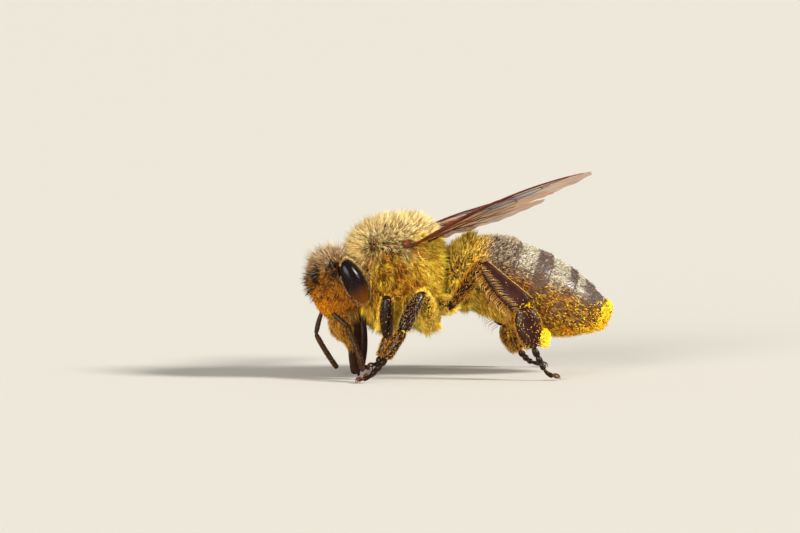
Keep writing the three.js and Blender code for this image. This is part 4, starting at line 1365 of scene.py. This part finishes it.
def build_pollen():
    """Grains dusted over the coat and legs, and lumps of them stuck to the legs."""
    rng = np.random.default_rng(12)
    places = [dust(*row, rng) for *row, _ in DUST]
    sizes = [rng.uniform(*span, count) for _, count, _, _, span in DUST]
    for middle, half, count, radius in LUMPS:
        places.append(middle + unit(rng.normal(size=(count, 3))) * half * rng.random((count, 1)) ** 0.5)
        sizes.append(rng.uniform(0.5, 1.0, count) * radius)
    for leg_name in LEGS:
        for name, (curve, across, deep, flat), broad in leg_limbs(leg_name)[1:]:
            count = GRAINS_ON_BRUSH if broad and name == "basitarsus" else GRAINS_ON_LIMB
            t, around = rng.uniform(0.05, 0.95, count), rng.uniform(0, TURN, count)
            side = np.cross(unit(curve(np.ones(1)) - curve(np.zeros(1))), flat)
            out = flat * (np.sin(around) * deep(t))[:, None]
            out = out + side * (np.cos(around) * across(t))[:, None]
            places.append(curve(t) + out * 1.02)
            sizes.append(rng.uniform(0.009, 0.02, count))
    *row, span = TAIL_DUST
    places.append(dust(*row, rng))
    sizes.append(rng.uniform(*span, row[1]))
    piece("pollen_grains", grains(np.concatenate(places), np.concatenate(sizes)), POLLEN)


# ---------------------------------------------------------------- wings

# How a wing is turned out from the body, up, and about its own length, in degrees, and how high
# it arches as a share of its length.
WINGS = {
    "left": {"spread": 24, "rise": 23.5, "droop": 8.5, "arch": 0.03},
    "right": {"spread": 29.5, "rise": 12.5, "droop": -6, "arch": 0.025},
}
WING_ROOT = [-2.25, 1.95, 5.85]
WING_LENGTH = 8.5
HIND_ROOT = [0.55, 0.62]  # the hind wing's root along and behind the forewing's
HIND_SWEEP = math.radians(27)
HIND_TURN = np.array([[math.cos(HIND_SWEEP), math.sin(HIND_SWEEP), 0],
                      [-math.sin(HIND_SWEEP), math.cos(HIND_SWEEP), 0], [0, 0, 1]])
# Front and hind edges, as places along the wing and behind its root.
EDGES = {
    "forewing": (
        [[0, -0.12], [1.5, -0.22], [3, -0.28], [5.8, -0.24], [7.6, 0.05], [8.3, 0.4], [8.45, 0.62]],
        [[0, 0.32], [1.3, 0.75], [3.1, 1.7], [4.9, 2.65], [5.8, 2.75], [7.1, 2.3], [8.2, 1.4],
         [8.45, 0.62]]),
    "hindwing": (
        [[0, -0.1], [2.1, -0.22], [4.1, -0.2], [5.3, 0.05], [5.6, 0.28], [5.65, 0.5]],
        [[0, 0.3], [0.6, 0.55], [1.4, 0.95], [2.4, 1.42], [3.7, 1.6], [4.9, 1.2], [5.5, 0.8],
         [5.65, 0.5]]),
}
# Veins as such places, with the half width at either end.
VEINS = {
    "forewing": [
        ([[0, -0.08], [1.5, -0.2], [3, -0.26], [4.4, -0.27]], 0.09, 0.075),
        ([[0, 0.05], [1.5, -0.05], [3, -0.14], [4.3, -0.2]], 0.075, 0.055),
        ([[4.3, -0.25], [5.8, -0.21], [7.1, -0.04], [7.75, 0.14], [8.2, 0.38]], 0.06, 0.03),
        ([[4.75, -0.15], [5.2, 0.18], [6.4, 0.28], [7.3, 0.2], [7.75, 0.12]], 0.035, 0.03),
        ([[3.3, -0.1], [3.55, 0.3], [3.75, 0.75]], 0.03, 0.028),
        ([[3.6, 0.35], [4.4, 0.42], [5.1, 0.2]], 0.028, 0.028),
        ([[0.1, 0.15], [1.2, 0.42], [2.4, 0.66], [3.75, 0.75]], 0.045, 0.03),
        ([[3.75, 0.75], [4.7, 0.98], [5.6, 0.95], [6.5, 0.7]], 0.028, 0.02),
        ([[4.55, 0.45], [4.85, 0.7], [4.75, 0.98]], 0.024, 0.022),
        ([[5.9, 0.3], [6.2, 0.55], [6.1, 0.84]], 0.024, 0.022),
        ([[2.4, 0.66], [2.75, 1.05], [3.4, 1.45], [4.5, 1.75]], 0.03, 0.018),
        ([[4.5, 1.75], [4.75, 1.4], [4.6, 0.98]], 0.024, 0.022),
        ([[0.1, 0.25], [1.4, 0.68], [3.0, 1.5]], 0.035, 0.02)],
    "hindwing": [
        ([[0, -0.02], [1.4, -0.12], [2.8, -0.16], [4.2, -0.12]], 0.055, 0.03),
        ([[0, 0.1], [1.2, 0.14], [2.2, 0.3], [3.3, 0.4], [5.0, 0.35]], 0.04, 0.015),
        ([[1.2, 0.14], [1.9, 0.65], [2.5, 1.1]], 0.025, 0.015),
        ([[1.9, 0.65], [2.9, 0.85], [4.1, 0.9]], 0.022, 0.014)],
}
STIGMA = [[4.2, -0.2], [4.6, -0.16], [5.0, -0.18]]  # the dark spot at the front edge
SKIN_HALF = 0.008  # half thickness of a wing's skin


def wing_axes(name, kind):
    """Root and axes of a wing: along it, from front edge to hind edge, and across the skin. A
    hind wing lies in its forewing's plane behind it."""
    side = SIDES[name]
    spread, rise, droop = (math.radians(WINGS[name][key]) for key in ("spread", "rise", "droop"))
    along = np.array([math.cos(rise) * math.cos(spread), side * math.cos(rise) * math.sin(spread),
                      math.sin(rise)])
    level = np.array([math.sin(spread), -side * math.cos(spread), 0])
    above = np.cross(along, level) * -side
    back = level * math.cos(droop) - above * math.sin(droop)
    root, axes = np.array(WING_ROOT) * [1, side, 1], np.array([along, back, np.cross(along, back)])
    if kind == "hindwing":
        return root + HIND_ROOT @ axes[:2], HIND_TURN @ axes
    return root, axes


def relief(flat, name, kind):
    """Height of the wings' skin: an arch from root to tip, pleats along the wing that fade to
    the tip and fine crumples near the hind edge. A hind wing is hooked to its forewing, so
    both lie on one surface, given by places along and behind the forewing's root."""
    if kind == "hindwing":
        flat = flat @ HIND_TURN[:2, :2] + HIND_ROOT
    x, y = flat[..., 0], flat[..., 1]
    share = np.clip(x / WING_LENGTH, 0, 1)
    arch = WINGS[name]["arch"] * WING_LENGTH * 4 * share * (1 - share)
    pleat = 0.045 * np.sin(y * 6.5 - x * 0.35) * np.exp(-x / 6)
    crumple = 0.012 * np.sin(x * 9 + y * 4) * ease(y, 0.6, 1.8)
    return -SIDES[name] * (arch + pleat + crumple)


def on_wing(flat, name, kind, lift=0.0):
    """Places at the relief of a wing's skin, and lift over it, from places along the wing and
    behind its root."""
    root, axes = wing_axes(name, kind)
    height = relief(flat, name, kind) + lift
    return root + np.concatenate([flat, height[..., None]], -1) @ axes


def wing_skin(name, kind):
    """A wing's skin as a closed sheet, with its places along and across the wing: rows along it
    and columns over the top and back below.

    A place is between the front and hind edges by b, and lies off the middle by the relief and
    half the skin's thickness."""
    front, hind = (path(edge) for edge in EDGES[kind])
    t = np.linspace(0.0, 0.995, 110)
    b = np.linspace(0, 1, 40)
    half = np.repeat([SKIN_HALF, -SKIN_HALF], 40)
    b = np.concatenate([b, b[::-1]])[None, :, None]
    flat = front(t)[:, None] * (1 - b) + hind(t)[:, None] * b
    ends = np.stack([flat[0].mean(0), flat[-1].mean(0)])
    return shut(on_wing(flat, name, kind, half)), np.concatenate([flat.reshape(-1, 2), ends])


def wing_tints(kind, flat):
    """Colours of a wing's skin: amber at root and tip, smoky blue-grey between, and amber again
    over the hind wing."""
    x, y = flat[:, 0], flat[:, 1]
    smoke = ease(x, 2.6, 3.6) * (1 - ease(x, 5.4, 6.6)) * (1 - ease(y, 1.2, 2.0)) * (kind == "forewing")
    patch = 0.5 + 0.5 * ripple(np.column_stack([x, y, x * 0]), 1.4, 51)
    shade = mixed(linear("#e6b888"), linear("#ca9a66"), np.clip(patch, 0, 1))
    shade = mixed(shade, linear("#964812"), 0.92 * (1 - ease(x, 0.8, 3.4)))
    shade = mixed(shade, linear("#bc7436"), 0.45 * ease(x, 6.2, 7.6))
    return mixed(shade, linear("#8f98a4"), 0.75 * smoke)


def wing_tube(points, wide, deep, name, kind, **grid):
    """A vein or the stigma: a tube along places of the wing, which follows the skin's relief."""
    flat = path(points)
    return limb(lambda t: on_wing(flat(t), name, kind), profile(wide), profile(deep),
                wing_axes(name, kind)[1][2], **grid)


def build_wings():
    """Both pairs of wings, their veins, the dark stigma and the hinge plates."""
    for name, side in SIDES.items():
        for kind in EDGES:
            sheet, flat = wing_skin(name, kind)
            piece(f"{kind}_{name}_skin", sheet, FILM, [f"{kind}_{name}"],
                  wing_tints(kind, flat))
            tubes = [wing_tube(points, [near, far], [near * 0.75, far * 0.75], name, kind,
                               rows=40, columns=10, blunt=8) for points, near, far in VEINS[kind]]
            if kind == "forewing":
                tubes.append(wing_tube(STIGMA, [0.08, 0.13, 0.05], [0.06, 0.06, 0.04], name, kind))
            piece(f"{kind}_{name}_veins", joined(tubes), VEIN)
        centre = np.array([THORAX_CENTRE[0] + 0.12, side * 1.95, 5.93])
        ball = round_ball(24, 32)[..., [2, 0, 1]] * [0.3, 0.19, 0.2]
        piece(f"tegula_{name}_plate", shut(centre + ball), BROWN_SHELL,
              [f"tegula_{name}"])


# ---------------------------------------------------------------- floor, light and camera

PICTURE = (800, 533)  # pixels
PIXEL = 0.044  # mm covered by one pixel at the bee
ORIGIN_PIXEL = (456, 375)  # where the frame's origin shows
AZIMUTH, ELEVATION = math.radians(-9), math.radians(4)
DISTANCE = 220.0
FLOOR_REACH = 3.0  # metres
# Azimuth, elevation, strength and width of each sun, in degrees.
SUNS = {"key": (65, 32, 5.0, 13), "fill": (-36, 10, 5.1, 40)}


def direction(azimuth, elevation):
    """The direction from the bee towards a place at this azimuth and elevation."""
    return Vector((math.sin(azimuth) * math.cos(elevation), -math.cos(azimuth) * math.cos(elevation),
                   math.sin(elevation)))


def placed(name, data):
    """An object in the scene."""
    made = bpy.data.objects.new(name, data)
    bpy.context.scene.collection.objects.link(made)
    return made


def build_stage():
    """A plain pale floor, two wide soft suns, a pale surround and the camera."""
    mesh = bpy.data.meshes.new("floor")
    corners = [(-1, -1), (1, -1), (1, 1), (-1, 1)]
    mesh.from_pydata([(FLOOR_REACH * x, FLOOR_REACH * y, 0) for x, y in corners], [], [(0, 1, 2, 3)])
    # Card: matt coated paper, pale and without gloss.
    mesh.materials.append(new_material("matt_pale_card", lambda tree: add(
        tree, "ShaderNodeBsdfPrincipled", Roughness=0.9, Base_Color=linear("#c9c6bf"))))
    placed("floor", mesh)

    for name, (azimuth, elevation, strength, width) in SUNS.items():
        sun = bpy.data.lights.new(name, "SUN")
        sun.energy = strength
        sun.angle = math.radians(width)
        sun.color = (1.0, 0.97, 0.92)
        towards = direction(math.radians(azimuth), math.radians(elevation))
        placed(name, sun).rotation_euler = towards.to_track_quat("Z", "Y").to_euler()

    world = bpy.data.worlds.new("surround")
    world.use_nodes = True
    background = world.node_tree.nodes["Background"]
    background.inputs["Color"].default_value = linear("#f1ede6")
    background.inputs["Strength"].default_value = 0.36
    bpy.context.scene.world = world

    back = direction(AZIMUTH, ELEVATION)
    right = Vector((math.cos(AZIMUTH), math.sin(AZIMUTH), 0))
    up = back.cross(right)
    target = (right * (PICTURE[0] / 2 - ORIGIN_PIXEL[0])
              + up * (ORIGIN_PIXEL[1] - PICTURE[1] / 2)) * PIXEL * MM
    lens = bpy.data.cameras.new("camera")
    lens.sensor_width = 36
    lens.lens = 36 * DISTANCE / (PICTURE[0] * PIXEL)
    lens.clip_start, lens.clip_end = 0.001, 20
    camera = placed("camera", lens)
    turned = Matrix((right, up, back)).transposed().to_4x4()
    camera.matrix_world = Matrix.Translation(target + back * DISTANCE * MM) @ turned
    bpy.context.scene.camera = camera
    bpy.context.scene.view_settings.view_transform = "Standard"


build_stage()
build_body()
build_plates()
build_coats()
build_eyes()
build_eye_hair()
build_feelers()
build_mouth()
build_mouth_hair()
build_legs()
build_leg_coat()
build_pollen()
build_wings()
